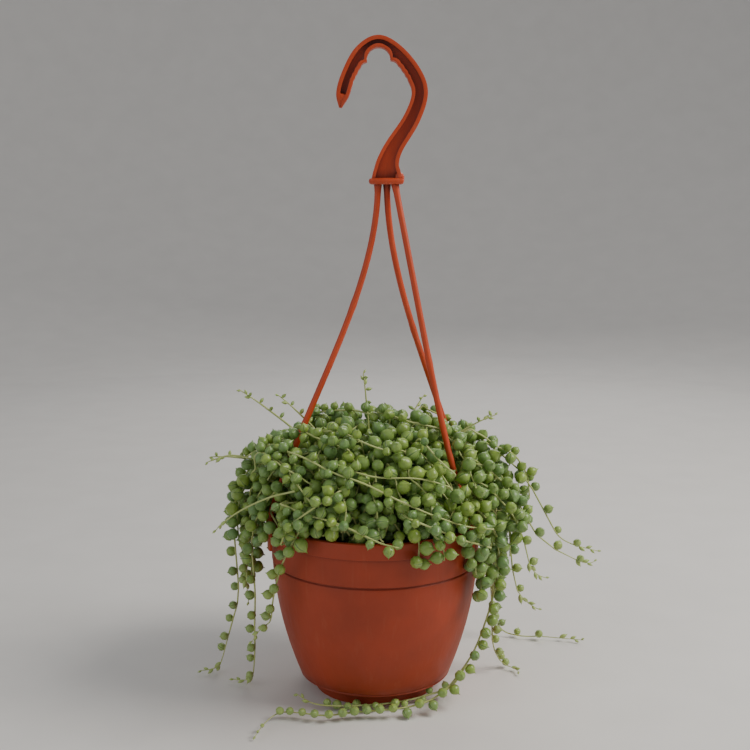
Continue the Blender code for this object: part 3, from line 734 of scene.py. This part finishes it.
def clip_blocks(settings, band, turn):
    """A clip at a bearing: its strap, the boss where the leg meets it and the toe under the collar."""
    radius = clip_radius(settings)
    toe_in = band + 0.00035
    toe_out = POT_HIGH.x + 0.0022
    narrow = settings.clip_width - 0.0008
    # Distance out, height, then size outwards, sideways and upwards, and rounding.
    rows = (
        ("strap", radius, 0.112, settings.clip, settings.clip_width, 0.022, 0.0006),
        ("boss", radius + 0.0004, 0.1205, settings.clip + 0.0012, narrow, 0.0046, 0.0008),
        ("toe", (toe_in + toe_out) / 2.0, 0.1064, toe_out - toe_in, narrow, 0.0032, 0.0004),
    )
    made = []
    for name, out, height, thick, wide, tall, edge in rows:
        middle = (out * math.cos(turn), out * math.sin(turn), height)
        made.append(block(name, middle, (thick, wide, tall), turn, edge))
    return made


class PEARLS_OT_hanger(Operator):
    """Builds the moulded hanger: hook, plate, three legs and their clips, joined into one skin."""

    bl_idname = "pearls.hanger"
    bl_label = "Hanger"

    def execute(self, context):
        settings = context.scene.pearls_hanger
        band = context.scene.pearls_pot.band
        hanger = settle(bevelled(hook_tool(settings), 0.0005, 2, 38.0))
        others = [block(name, middle, size, 0.0, edge) for name, middle, size, edge in PLATE_BLOCKS]
        for i, leg in enumerate(LEGS):
            line = leg_line(settings, *leg)
            others.append(tube(f"leg_{i}", line, leg_radii(settings, line, 13 + 3 * i), 14))
            others += clip_blocks(settings, band, math.radians(leg[2]))
        for other in others:
            join = hanger.modifiers.new(other.name, "BOOLEAN")
            join.operation = "UNION"
            join.solver = "EXACT"
            join.object = other
        hanger.name = "clip_on_hanger"
        hanger = settle(hanger, 34.0)
        for other in others:
            bpy.data.objects.remove(other, do_unlink=True)
        plastic = moulded_polypropylene(
            "moulded_orange_polypropylene", settings.colour, settings.dust, rough=0.4, scuffs=0.25)
        finish_piece(hanger, plastic, "hanger", "hanger")
        return {"FINISHED"}


# ---------------------------------------------------------------- soil

def new_tree(name, inputs):
    """A node tree with geometry in and out and these named inputs, and the node that gives them."""
    tree = bpy.data.node_groups.new(name, "GeometryNodeTree")
    for key, kind in {"Geometry": "Geometry", **inputs}.items():
        tree.interface.new_socket(key, in_out="INPUT", socket_type=f"NodeSocket{kind}")
    tree.interface.new_socket("Geometry", in_out="OUTPUT", socket_type="NodeSocketGeometry")
    return tree, add(tree, "NodeGroupInput")


def crumb_tree():
    """Nodes that scatter crumbs over a surface and keep the surface."""
    tree, given = new_tree("crumbs_on_soil", {
        "Crumb": "Object", "Crumb size": "Float", "Density": "Float", "Seed": "Int",
        "Soil": "Material", "Crumb material": "Material"})
    up = add(tree, "ShaderNodeSeparateXYZ", links={0: add(tree, "GeometryNodeInputNormal").outputs[0]})
    top = add(tree, "FunctionNodeCompare", {"B": 0.6}, {"A": up.outputs["Z"]}, operation="GREATER_THAN")
    spots = add(tree, "GeometryNodeDistributePointsOnFaces", links={
        "Mesh": given.outputs["Geometry"], "Selection": top.outputs[0],
        "Density": given.outputs["Density"], "Seed": given.outputs["Seed"]})
    crumb = add(tree, "GeometryNodeObjectInfo", links={"Object": given.outputs["Crumb"]})
    turn = add(tree, "FunctionNodeRandomValue", data_type="FLOAT_VECTOR",
               links={"Seed": given.outputs["Seed"]})
    turn.inputs[1].default_value = (math.tau, math.tau, math.tau)
    size = add(tree, "FunctionNodeRandomValue", {2: 0.45, 3: 1.3}, {"Seed": given.outputs["Seed"]})
    scale = add(tree, "ShaderNodeMath", links={0: size.outputs[1], 1: given.outputs["Crumb size"]},
                operation="MULTIPLY")
    crumbs = add(tree, "GeometryNodeInstanceOnPoints", links={
        "Points": spots.outputs["Points"], "Instance": crumb.outputs["Geometry"],
        "Rotation": turn.outputs[0], "Scale": scale.outputs[0]})
    solid = add(tree, "GeometryNodeRealizeInstances", links={"Geometry": crumbs.outputs[0]})
    grains = add(tree, "GeometryNodeSetMaterial", links={
        "Geometry": solid.outputs[0], "Material": given.outputs["Crumb material"]})
    ground = add(tree, "GeometryNodeSetMaterial", links={
        "Geometry": given.outputs["Geometry"], "Material": given.outputs["Soil"]})
    both = add(tree, "GeometryNodeJoinGeometry")
    tree.links.new(ground.outputs[0], both.inputs[0])
    tree.links.new(grains.outputs[0], both.inputs[0])
    add(tree, "NodeGroupOutput", links={0: both.outputs[0]})
    return tree


def run_tree(obj, tree, values):
    """Puts a node tree on an object, gives it its inputs and returns the plain mesh that it makes."""
    modifier = obj.modifiers.new(tree.name, "NODES")
    modifier.node_group = tree
    sockets = {item.name: item.identifier for item in tree.interface.items_tree if item.in_out == "INPUT"}
    for name, value in values.items():
        modifier[sockets[name]] = value
    return settle(obj)


def soil_outline(pot):
    """Outline of the soil from the middle of its underside up the wall and over its crown."""
    inset = pot.wall + SOIL_GAP
    top = SOIL_HIGH.z - 0.0036
    edge = pot.mouth - 0.0012
    outline = [
        Vector((0.0, SOIL_LOW.z)),
        Vector((pot.foot - inset, SOIL_LOW.z)),
        Vector((pot.foot - inset, pot.ledge_z + pot.wall + 0.0005)),
        Vector((pot.ledge - inset, pot.ledge_z + pot.wall + 0.0006)),
    ]
    for i in range(1, 9):
        height = pot.ledge_z + (pot.groove_z - pot.ledge_z) * i / 8.0
        outline.append(Vector((pot_wall(pot, height) - inset - 0.0004, height)))
    outline.append(Vector((edge, top)))
    crown = []
    for k in range(CROWN_ROWS):
        share = 1.0 - (k + 1) / CROWN_ROWS
        crown.append(Vector((edge * share, top + SOIL_CROWN * math.cos(share * math.pi / 2.0))))
    return outline, crown


def crumb_shape(rng):
    """One uneven crumb of peat, about 1 across."""
    shape = bmesh.new()
    bmesh.ops.create_icosphere(shape, subdivisions=1, radius=0.5)
    for vert in shape.verts:
        vert.co *= rng.uniform(0.7, 1.25)
    mesh = bpy.data.meshes.new("crumb")
    shape.to_mesh(mesh)
    shape.free()
    return bpy.data.objects.new("crumb", mesh)


class PEARLS_OT_soil(Operator):
    """Heaps the compost in the pot and scatters crumbs of peat over it."""

    bl_idname = "pearls.soil"
    bl_label = "Potting soil"

    def execute(self, context):
        settings = context.scene.pearls_soil
        rng = random.Random(settings.seed)
        outline, crown = soil_outline(context.scene.pearls_pot)
        points = []
        for i, spot in enumerate(outline + crown):
            rough = SOIL_LUMPS if i >= len(outline) else 0.0
            for k in range(SOIL_SIDES):
                turn = math.tau * k / SOIL_SIDES
                lump = rough * (rng.random() + math.sin(3.0 * turn + i) * 0.5)
                points.append((spot.x * math.cos(turn), spot.x * math.sin(turn), spot.y + lump))
        faces = ring_faces(len(outline) + len(crown), SOIL_SIDES)[2:]
        soil = mesh_object("potting_compost", points, faces)
        crumb = crumb_shape(rng)
        soil = run_tree(soil, crumb_tree(), {
            "Crumb": crumb,
            "Crumb size": settings.crumb,
            "Density": settings.density,
            "Seed": settings.seed,
            "Soil": damp_peat("damp_peat", settings.colour, settings.dry),
            "Crumb material": damp_peat("dry_peat_crumbs", "#3F2E22", "#7A624B"),
        })
        bpy.data.objects.remove(crumb, do_unlink=True)
        finish_piece(soil, None, "potting_soil", "potting_soil")
        return {"FINISHED"}


# ---------------------------------------------------------------- foliage

def is_pearl_tip(vert):
    """The middle, way, radius and belly corners of the pearl whose tip this corner is, or None."""
    around = [edge.other_vert(vert) for edge in vert.link_edges]
    if len(around) != 4:
        return None
    middle = sum((v.co for v in around), Vector()) / 4.0
    radius = (vert.co - middle).length
    way = (vert.co - middle).normalized()
    even = all(abs((v.co - middle).length - radius) < 0.03 * radius for v in around)
    flat = all(abs((v.co - middle).dot(way)) < 0.03 * radius for v in around)
    if even and flat and radius > 0.0012:
        return middle, way, radius, around
    return None


def stem_line(bm, leafy):
    """The middle line of a strand's stem, walked ring by ring from its rooted end."""
    caps = []
    for face in bm.faces:
        small = max(edge.calc_length() for edge in face.edges) < 1.42 * MM
        if small and not any(v.index in leafy for v in face.verts):
            caps.append(face)

    def from_root(face):
        middle = face.calc_center_median()
        return math.hypot(middle.x, middle.y) + abs(middle.z - SOIL_HIGH.z)

    ring = list(min(caps, key=from_root).verts)
    seen = {v.index for v in ring}
    line = []
    while ring:
        line.append(sum((v.co for v in ring), Vector()) / len(ring))
        following = []
        for vert in ring:
            for edge in vert.link_edges:
                other = edge.other_vert(vert)
                if other.index not in seen and other.index not in leafy:
                    seen.add(other.index)
                    following.append(other)
        ring = following
    return line


def welded(name):
    """A CAD node's mesh with its loose triangles merged."""
    bm = bmesh.new()
    bm.from_mesh(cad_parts[name].data)
    bmesh.ops.remove_doubles(bm, verts=bm.verts, dist=2e-6)
    return bm


def read_strand(name):
    """A strand's stem line, and the middle, way and radius of each pearl, from its CAD node."""
    bm = welded(name)
    pearls = []
    leafy = set()
    for vert in bm.verts:
        found = is_pearl_tip(vert)
        if found:
            pearls.append(found[:3])
            leafy.update(v.index for v in (vert, *found[3]))
    line = stem_line(bm, leafy)
    bm.free()
    return line, pearls


class Room:
    """Where leaves already are, so that an added one takes only free room."""

    def __init__(self):
        self.places = np.zeros((0, 3))
        self.sizes = np.zeros(0)
        self.solids = []
        for name in ("pot", "hanger", "potting_soil"):
            bm = welded(name)
            self.solids.append(BVHTree.FromBMesh(bm))
            bm.free()

    def add(self, places, sizes):
        self.places = np.vstack([self.places, np.array([p[:] for p in places]).reshape(-1, 3)])
        self.sizes = np.concatenate([self.sizes, np.array(sizes)])

    def gap(self, place):
        """Distance from a point to the nearest leaf's skin."""
        return float((np.linalg.norm(self.places - np.array(place[:]), axis=1) - self.sizes).min())

    def clear_of_solids(self, place, radius):
        if place.z - radius < 0.0003:
            return False
        for tree in self.solids:
            spot, normal, _, distance = tree.find_nearest(place)
            if distance < radius + 0.0002 or (place - spot).dot(normal) < 0.0:
                return False
        return True


def pearl_shape():
    """One pearl leaf of radius 1 about its middle, its point along +Z, its stalk along -Z."""
    sides = PEARL_SIDES
    points = [(0.0, 0.0, PEARL_BASE)]
    for height, radius in PEARL_ROWS:
        for k in range(sides):
            turn = math.tau * k / sides
            points.append((radius * math.cos(turn), radius * math.sin(turn), height))
    points.append((0.0, 0.0, PEARL_TIP))
    last = len(points) - 1
    faces = [(0, 1 + (k + 1) % sides, 1 + k) for k in range(sides)]
    for i in range(len(PEARL_ROWS) - 1):
        for k in range(sides):
            j = (k + 1) % sides
            first = 1 + i * sides
            faces.append((first + k, first + j, first + sides + j, first + sides + k))
    first = last - sides
    faces += [(first + k, first + (k + 1) % sides, last) for k in range(sides)]
    mesh = bpy.data.meshes.new("pearl")
    mesh.from_pydata(points, [], faces)
    # The window is a line up one side; polar runs from stalk to point.
    window = [1.0 if (i - 1) % sides == 0 or i in (0, last) else 0.0 for i in range(len(points))]
    polar = [(point[2] - PEARL_BASE) / (PEARL_TIP - PEARL_BASE) for point in points]
    for name, values in (("window", window), ("polar", polar)):
        mesh.attributes.new(name, "FLOAT", "POINT").data.foreach_set("value", values)
    return bpy.data.objects.new("pearl", mesh)


def strand_tree():
    """Nodes that sweep a stem along its line and put a pearl on each leaf point."""
    tree, given = new_tree("string_of_pearls", {
        "Pearl": "Object", "Stem radius": "Float", "Stem sides": "Int",
        "Stem material": "Material", "Leaf material": "Material"})

    def named(name, kind="FLOAT"):
        return add(tree, "GeometryNodeInputNamedAttribute", {"Name": name}, data_type=kind).outputs[0]

    leafy = add(tree, "FunctionNodeCompare", {"B": 0.5}, {"A": named("leaf")}, operation="GREATER_THAN")
    leafy = leafy.outputs[0]
    parts = add(tree, "GeometryNodeSeparateGeometry", links={
        "Geometry": given.outputs["Geometry"], "Selection": leafy}, domain="POINT")
    line = add(tree, "GeometryNodeMeshToCurve", links={"Mesh": parts.outputs["Inverted"]})
    outline = add(tree, "GeometryNodeCurvePrimitiveCircle", links={
        "Resolution": given.outputs["Stem sides"], "Radius": given.outputs["Stem radius"]})
    stem = add(tree, "GeometryNodeCurveToMesh", {"Fill Caps": True}, {
        "Curve": line.outputs[0], "Profile Curve": outline.outputs["Curve"], "Scale": named("size")})
    spots = add(tree, "GeometryNodeMeshToPoints", links={"Mesh": parts.outputs["Selection"]})
    pearl = add(tree, "GeometryNodeObjectInfo", links={"Object": given.outputs["Pearl"]})
    girth = named("girth")
    scale = add(tree, "ShaderNodeCombineXYZ", links={"X": girth, "Y": girth, "Z": named("size")})
    leaves = add(tree, "GeometryNodeInstanceOnPoints", links={
        "Points": spots.outputs[0], "Instance": pearl.outputs["Geometry"],
        "Rotation": named("turn", "QUATERNION"), "Scale": scale.outputs[0]})
    both = add(tree, "GeometryNodeJoinGeometry")
    tree.links.new(stem.outputs[0], both.inputs[0])
    tree.links.new(leaves.outputs[0], both.inputs[0])
    solid = add(tree, "GeometryNodeRealizeInstances", links={"Geometry": both.outputs[0]})
    smooth = add(tree, "GeometryNodeSetShadeSmooth", links={"Geometry": solid.outputs[0]})
    stems = add(tree, "GeometryNodeSetMaterial", links={
        "Geometry": smooth.outputs[0], "Material": given.outputs["Stem material"]})
    pearls = add(tree, "GeometryNodeSetMaterial", links={
        "Geometry": stems.outputs[0], "Selection": leafy, "Material": given.outputs["Leaf material"]})
    add(tree, "NodeGroupOutput", links={0: pearls.outputs[0]})
    return tree


class Leaf:
    """A leaf on a stem: its middle, the way it points, its radius, tint, youth and slimness."""

    def __init__(self, middle, way, radius, tint, young=0.0, slim=1.0):
        self.middle = middle
        self.way = way
        self.radius = radius
        self.tint = tint
        self.young = young
        self.slim = slim


def grow_piece(name, kit, stems, leaves):
    """One finished piece from stems, each (line, thickness along it, youth along it), and leaves."""
    points = []
    edges = []
    sizes = []
    young = []
    for line, thickness, age in stems:
        edges += [(len(points) + i, len(points) + i + 1) for i in range(len(line) - 1)]
        points += [tuple(p) for p in line]
        sizes += thickness
        young += age
    on_stems = len(points)
    points += [tuple(leaf.middle) for leaf in leaves]
    mesh = bpy.data.meshes.new(name)
    mesh.from_pydata(points, edges, [])
    turns = []
    for leaf in leaves:
        spin = Quaternion((0.0, 0.0, 1.0), kit["rng"].uniform(0.0, math.tau))
        turns.append(leaf.way.to_track_quat("Z", "Y") @ spin)
    columns = {
        "leaf": [0.0] * on_stems + [1.0] * len(leaves),
        "size": sizes + [leaf.radius for leaf in leaves],
        "girth": sizes + [leaf.radius * leaf.slim for leaf in leaves],
        "tint": [0.5] * on_stems + [leaf.tint for leaf in leaves],
        "young": young + [leaf.young for leaf in leaves],
    }
    for key, values in columns.items():
        mesh.attributes.new(key, "FLOAT", "POINT").data.foreach_set("value", values)
    turned_by = [1.0, 0.0, 0.0, 0.0] * on_stems + [c for turn in turns for c in turn]
    mesh.attributes.new("turn", "QUATERNION", "POINT").data.foreach_set("value", turned_by)
    made = bpy.data.objects.new(name, mesh)
    bpy.context.scene.collection.objects.link(made)
    return run_tree(made, kit["tree"], {
        "Pearl": kit["pearl"],
        "Stem radius": kit["stem"],
        "Stem sides": STEM_SIDES,
        "Stem material": kit["stem_material"],
        "Leaf material": kit["leaf_material"],
    })


def line_way(line, i):
    return (line[min(i + 1, len(line) - 1)] - line[max(i - 1, 0)]).normalized()


def fill_leaves(kit, line, stations, radius, chance, young=0.0):
    """Adds leaves at stations of a stem wherever one of several ways off it is free."""
    room, rng = kit["room"], kit["rng"]
    leaves = []
    for i in stations:
        if rng.random() > chance:
            continue
        ahead = line_way(line, i)
        level = ahead.orthogonal().normalized()
        phase = rng.uniform(0.0, math.tau)
        size = radius * rng.uniform(0.78, 1.06)
        for k in range(WAYS_TRIED):
            way = Quaternion(ahead, phase + math.tau * k / WAYS_TRIED) @ level
            way = (way + ahead * rng.uniform(-0.1, 0.45)).normalized()
            middle = line[i] + way * (size * 1.03 + kit["stem"] * 0.4)
            if room.gap(middle) < size * CROWDING or not room.clear_of_solids(middle, size):
                continue
            if hides_front_leg(kit, middle):
                continue
            leaves.append(Leaf(middle, way, size, rng.random(), young))
            room.add([middle], [size])
            break
    return leaves


def tip_leaves(kit, line, count, spacing):
    """Small slim leaves that point along the last stretch of a young stem."""
    room, rng = kit["room"], kit["rng"]
    leaves = []
    hand = 1.0
    last = len(line) - 1
    for k in range(count):
        i = last - 1 - round(k * spacing)
        if i < 1:
            break
        ahead = line_way(line, i)
        side = Quaternion(ahead, rng.uniform(-0.7, 0.7)) @ ahead.orthogonal().normalized() * hand
        hand = -hand
        way = (side * 0.55 + ahead).normalized()
        size = 0.0012 + 0.0004 * k + rng.uniform(0.0, 0.0003)
        middle = line[i] + way * size * 0.9 + side * kit["stem"] * 0.4
        if room.gap(middle) > size * 0.4 and middle.z > size * 1.1:
            leaves.append(Leaf(middle, way, size, 0.8, 1.0, 0.55))
    return leaves


def hides_front_leg(kit, place):
    """Whether a leaf would stand in front of the stretch of the front leg that is left bare."""
    if not BARE_LEG[0] < place.z < BARE_LEG[1]:
        return False
    leg = min(kit["front_leg"], key=lambda spot: abs(spot.z - place.z))
    return abs(place.x - leg.x) < 0.0062 and place.y < leg.y + 0.002


def on_mound(place):
    """Whether a place is on the mound and not on a strand that hangs free of the pot."""
    return place.z > 0.112 and math.hypot(place.x, place.y * 1.15) < 0.104


def nearest_share(line, place):
    """How far along a line, from 0 to 1, its nearest station to a place is."""
    return min(range(len(line)), key=lambda i: (line[i] - place).length_squared) / len(line)


def cad_leaves(kit, name, line, pearls):
    """The leaves that stand for a strand's CAD pearls, younger towards the end of a strand that trails."""
    shoot = name.startswith("shoot_")
    leaves = []
    for middle, way, radius in pearls:
        if hides_front_leg(kit, middle):
            continue
        fresh = max(0.0, (nearest_share(line, middle) - 0.55) / 0.45) if shoot or trails(name) else 0.0
        slim = 0.55 if shoot else 1.0
        leaves.append(Leaf(middle, way, radius * 1.02, kit["rng"].random(), fresh * 0.8, slim))
    return leaves


def trails(name):
    """Whether a strand trails away from the mound: those of the mound are numbered."""
    return name.startswith("strand_") and not name.removeprefix("strand_").isdigit()


class PEARLS_OT_strands(Operator):
    """Grows every strand along its CAD stem, with its pearls and more pearls where there is room."""

    bl_idname = "pearls.strands"
    bl_label = "Strands"

    def execute(self, context):
        settings = context.scene.pearls_foliage
        kit = foliage_kit(settings)
        read = {name: read_strand(name) for name in STRANDS}
        for _, pearls in read.values():
            kit["room"].add([pearl[0] for pearl in pearls], [pearl[2] for pearl in pearls])
        for name in STRANDS:
            line, pearls = read[name]
            line = evenly(spline(line, 4), STATION)
            shoot = name.startswith("shoot_")
            tapered = shoot or trails(name)
            length = len(line)
            leaves = cad_leaves(kit, name, line, pearls)
            if not shoot:
                stations = [i for i in range(5, length - 1) if not trails(name) or on_mound(line[i])]
                leaves += fill_leaves(kit, line, stations, settings.pearl, 0.8)
            if tapered:
                leaves += tip_leaves(kit, line, 3 if shoot else 5, 2.6)
            girth = 1.25 if shoot else 1.0
            sizes = [girth * stem_size(i / (length - 1), tapered) for i in range(length)]
            age = [1.0 if shoot else min(1.0, 0.25 + i / length) for i in range(length)]
            piece = grow_piece(f"vine_{name}", kit, [(line, sizes, age)], leaves)
            finish_piece(piece, None, "foliage", name)
        return {"FINISHED"}


def mound_place(turn, rise, lift):
    """A place on the mound by bearing and by how far up it is, lifted off its surface."""
    deep = MOUND_BACK if math.sin(turn) > 0.0 else MOUND_FRONT
    reach = 1.0 / math.hypot(math.cos(turn) / MOUND_SIDE, math.sin(turn) / deep)
    flat = math.sqrt(max(0.0, 1.0 - rise * rise)) * (reach + lift)
    return Vector((flat * math.cos(turn), flat * math.sin(turn), MOUND_FOOT + rise * (MOUND_RISE + lift)))


def inner_line(kit, turn):
    """A short strand's stem from the soil up under the mound and down towards the rim, or None."""
    rng = kit["rng"]
    high = rng.uniform(0.15, 0.98)
    drift = rng.uniform(-0.25, 0.25)
    lift = rng.uniform(-0.017, -0.008)
    root = 0.045
    way_points = [Vector((root * math.cos(turn), root * math.sin(turn), SOIL_HIGH.z - 0.001))]
    if high > 0.5:
        way_points.append(mound_place(turn, high, -0.03))
    for j in range(6):
        rise = high - 0.17 * j
        if rise < -0.02:
            break
        way_points.append(mound_place(turn + drift * j / 2.0, rise, lift))
    if len(way_points) < 3:
        return None
    line = evenly(spline(way_points, 6), 0.0018)
    line = [p for p in line if kit["room"].clear_of_solids(p, kit["stem"])]
    return line if len(line) >= 8 else None


class PEARLS_OT_undergrowth(Operator):
    """Fills the mound from inside with the short strands that hide the soil."""

    bl_idname = "pearls.undergrowth"
    bl_label = "Undergrowth"

    def execute(self, context):
        settings = context.scene.pearls_foliage
        kit = foliage_kit(settings)
        stems = []
        leaves = []
        for k in range(settings.inner):
            line = inner_line(kit, k * GOLDEN_TURN)
            if line is None:
                continue
            leaves += fill_leaves(kit, line, range(5, len(line) - 1), settings.pearl * 0.97, 1.0)
            stems.append((line, [0.9] * len(line), [0.3] * len(line)))
        piece = grow_piece("undergrowth", kit, stems, leaves)
        finish_piece(piece, None, "foliage")
        return {"FINISHED"}


def stem_size(share, tapered):
    """Thickness of a stem along its length, as a share of a grown stem's."""
    if not tapered:
        return 1.05 - 0.25 * share
    return 1.1 - 0.35 * share if share < 0.8 else max(0.35, 0.82 - 2.3 * (share - 0.8))


KIT = {}


def foliage_kit(settings):
    """What all the strands share: the pearl, the node tree, the materials and the room that is taken."""
    if not KIT:
        KIT.update({
            "front_leg": leg_line(bpy.context.scene.pearls_hanger, *LEGS[2]),
            "rng": random.Random(settings.seed),
            "room": Room(),
            "pearl": pearl_shape(),
            "tree": strand_tree(),
            "stem": settings.stem,
            "stem_material": green_stem(settings),
            "leaf_material": succulent_leaf(settings),
        })
    return KIT


def resting(kit, line):
    """A line lifted off the mound until it lies on the leaves under it."""
    lifts = []
    for here in line:
        out = (here - HEART).normalized()
        lift = -0.004
        while lift < 0.014 and kit["room"].gap(here + out * lift) < kit["stem"]:
            lift += 0.0008
        lifts.append(lift)
    last = len(lifts) - 1
    for _ in range(14):
        spread = [max(lifts[max(i - 1, 0)] * 0.985, lifts[i], lifts[min(i + 1, last)] * 0.985)
                  for i in range(last + 1)]
        lifts = [(spread[max(i - 1, 0)] + 2.0 * spread[i] + spread[min(i + 1, last)]) / 4.0
                 for i in range(last + 1)]
    return [here + (here - HEART).normalized() * lift for here, lift in zip(line, lifts)]


class PEARLS_OT_runners(Operator):
    """Lays the long pale runners over the mound and lets young tips stick out of it."""

    bl_idname = "pearls.runners"
    bl_label = "Pale runners"

    def execute(self, context):
        settings = context.scene.pearls_foliage
        kit = foliage_kit(settings)
        for name, way_points in {**RUNNERS, **LOOSE_TIPS}.items():
            line = evenly(spline([Vector(p) * MM for p in way_points], 10), STATION)
            if name in RUNNERS:
                line = resting(kit, line)
                # Both ends dip into the mound.
                start = line[0].lerp(HEART, 0.16)
                end = line[-1].lerp(HEART, 0.06)
                line = evenly(spline([start, *line[::3], end], 4), STATION)
                leaves = fill_leaves(kit, line, range(4, len(line) - 3), settings.pearl * 0.8, 0.25)
            else:
                leaves = tip_leaves(kit, line, 3, 3.0)
            if name == "front_branch":
                stations = range(14, len(line) - 12, 4)
                leaves += fill_leaves(kit, line, stations, settings.pearl * 0.68, 0.7, 0.5)
            last = len(line) - 1
            sizes = [stem_size(i / last, name in LOOSE_TIPS) * 0.95 for i in range(last + 1)]
            piece = grow_piece(f"runner_{name}", kit, [(line, sizes, [1.0] * len(line))], leaves)
            finish_piece(piece, None, "foliage")
        return {"FINISHED"}


# ---------------------------------------------------------------- stage

def floor_and_backdrop(board):
    """A round floor, and a coved wall round it that only the camera sees."""
    reach = 2.6
    cove = 1.2
    cove_steps = 12
    sides = 96
    outline = [(0.0, 0.0), (0.5, 0.0), (reach - cove, 0.0)]
    for k in range(1, cove_steps + 1):
        a = math.pi / 2.0 * k / cove_steps
        outline.append((reach - cove + cove * math.sin(a), cove * (1.0 - math.cos(a))))
    outline.append((reach, 4.5))
    points = [(r * math.cos(math.tau * i / sides), r * math.sin(math.tau * i / sides), z)
              for r, z in outline for i in range(sides)]
    faces = ring_faces(len(outline), sides)[2:]
    level = 3 * sides  # points of the rings that lie flat
    floor = mesh_object("floor", points, [face for face in faces if max(face) < level])
    backdrop = mesh_object("backdrop", points, [face for face in faces if max(face) >= level])
    for obj in (floor, backdrop):
        for polygon in obj.data.polygons:
            outwards = Vector((polygon.center.x, polygon.center.y, 0.0))
            if polygon.normal.z < 0.0 or polygon.normal.dot(outwards) > 0.01:
                polygon.flip()
        obj.data.materials.append(board)
    backdrop.visible_diffuse = False
    backdrop.visible_glossy = False
    backdrop.visible_shadow = False


def soft_light(context, name, place, width, power, colour):
    """A square soft light that faces the plant."""
    data = bpy.data.lights.new(name, "AREA")
    data.size = width
    data.energy = power
    data.color = colour
    lamp = bpy.data.objects.new(name, data)
    lamp.location = place
    lamp.rotation_euler = (Vector((0.0, 0.0, 0.16)) - Vector(place)).to_track_quat("-Z", "Y").to_euler()
    context.scene.collection.objects.link(lamp)


class PEARLS_OT_stage(Operator):
    """Sets the pale floor, the soft lights and the camera."""

    bl_idname = "pearls.stage"
    bl_label = "Stage"

    def execute(self, context):
        settings = context.scene.pearls_stage
        floor_and_backdrop(painted_floor(tuple(settings.floor)))
        soft_light(context, "key_light", (0.95, -0.2, 1.05), 0.7, settings.key, (1.0, 0.96, 0.9))
        soft_light(context, "fill_light", (-1.1, -0.9, 0.7), 1.2, settings.fill, (0.95, 0.97, 1.0))
        soft_light(context, "back_light", (0.2, 1.2, 0.9), 0.9, settings.fill, (1.0, 0.98, 0.95))
        world = bpy.data.worlds.new("soft_room")
        world.use_nodes = True
        background = world.node_tree.nodes["Background"]
        background.inputs["Color"].default_value = (0.86, 0.87, 0.9, 1.0)
        background.inputs["Strength"].default_value = settings.room
        context.scene.world = world
        data = bpy.data.cameras.new("camera")
        data.sensor_width = 36.0
        data.lens = 56.54
        camera = bpy.data.objects.new("camera", data)
        camera.location = (0.0, -0.772, 0.336)
        camera.rotation_euler = (math.radians(81.0), 0.0, 0.0)
        context.scene.collection.objects.link(camera)
        context.scene.camera = camera
        return {"FINISHED"}


class PEARLS_PT_panel(Panel):
    """Lists the pieces and their sizes."""

    bl_idname = "PEARLS_PT_panel"
    bl_label = "String of pearls"
    bl_space_type = "VIEW_3D"
    bl_region_type = "UI"
    bl_category = "Pearls"

    def draw(self, context):
        for operator, group in STEPS:
            box = self.layout.box()
            box.operator(operator.bl_idname, text=operator.bl_label)
            settings = getattr(context.scene, group)
            for key in settings.bl_rna.properties.keys():
                if key not in ("rna_type", "name"):
                    box.prop(settings, key)


STEPS = (
    (PEARLS_OT_stage, "pearls_stage"),
    (PEARLS_OT_pot, "pearls_pot"),
    (PEARLS_OT_hanger, "pearls_hanger"),
    (PEARLS_OT_soil, "pearls_soil"),
    (PEARLS_OT_strands, "pearls_foliage"),
    (PEARLS_OT_undergrowth, "pearls_foliage"),
    (PEARLS_OT_runners, "pearls_foliage"),
)
SETTINGS = {
    "pearls_stage": StageSettings,
    "pearls_pot": PotSettings,
    "pearls_hanger": HangerSettings,
    "pearls_soil": SoilSettings,
    "pearls_foliage": FoliageSettings,
}


def register():
    for name, group in SETTINGS.items():
        bpy.utils.register_class(group)
        setattr(bpy.types.Scene, name, PointerProperty(type=group))
    for operator, _ in STEPS:
        bpy.utils.register_class(operator)
    bpy.utils.register_class(PEARLS_PT_panel)


def unregister():
    bpy.utils.unregister_class(PEARLS_PT_panel)
    for operator, _ in reversed(STEPS):
        bpy.utils.unregister_class(operator)
    for name, group in SETTINGS.items():
        delattr(bpy.types.Scene, name)
        bpy.utils.unregister_class(group)


def main():
    for name in ("Cube", "Light", "Camera"):
        if name in bpy.data.objects:
            bpy.data.objects.remove(bpy.data.objects[name], do_unlink=True)
    register()
    bpy.ops.pearls.stage()
    bpy.ops.pearls.pot()
    bpy.ops.pearls.hanger()
    bpy.ops.pearls.soil()
    bpy.ops.pearls.strands()
    bpy.ops.pearls.undergrowth()
    bpy.ops.pearls.runners()


if __name__ == "__main__":
    main()
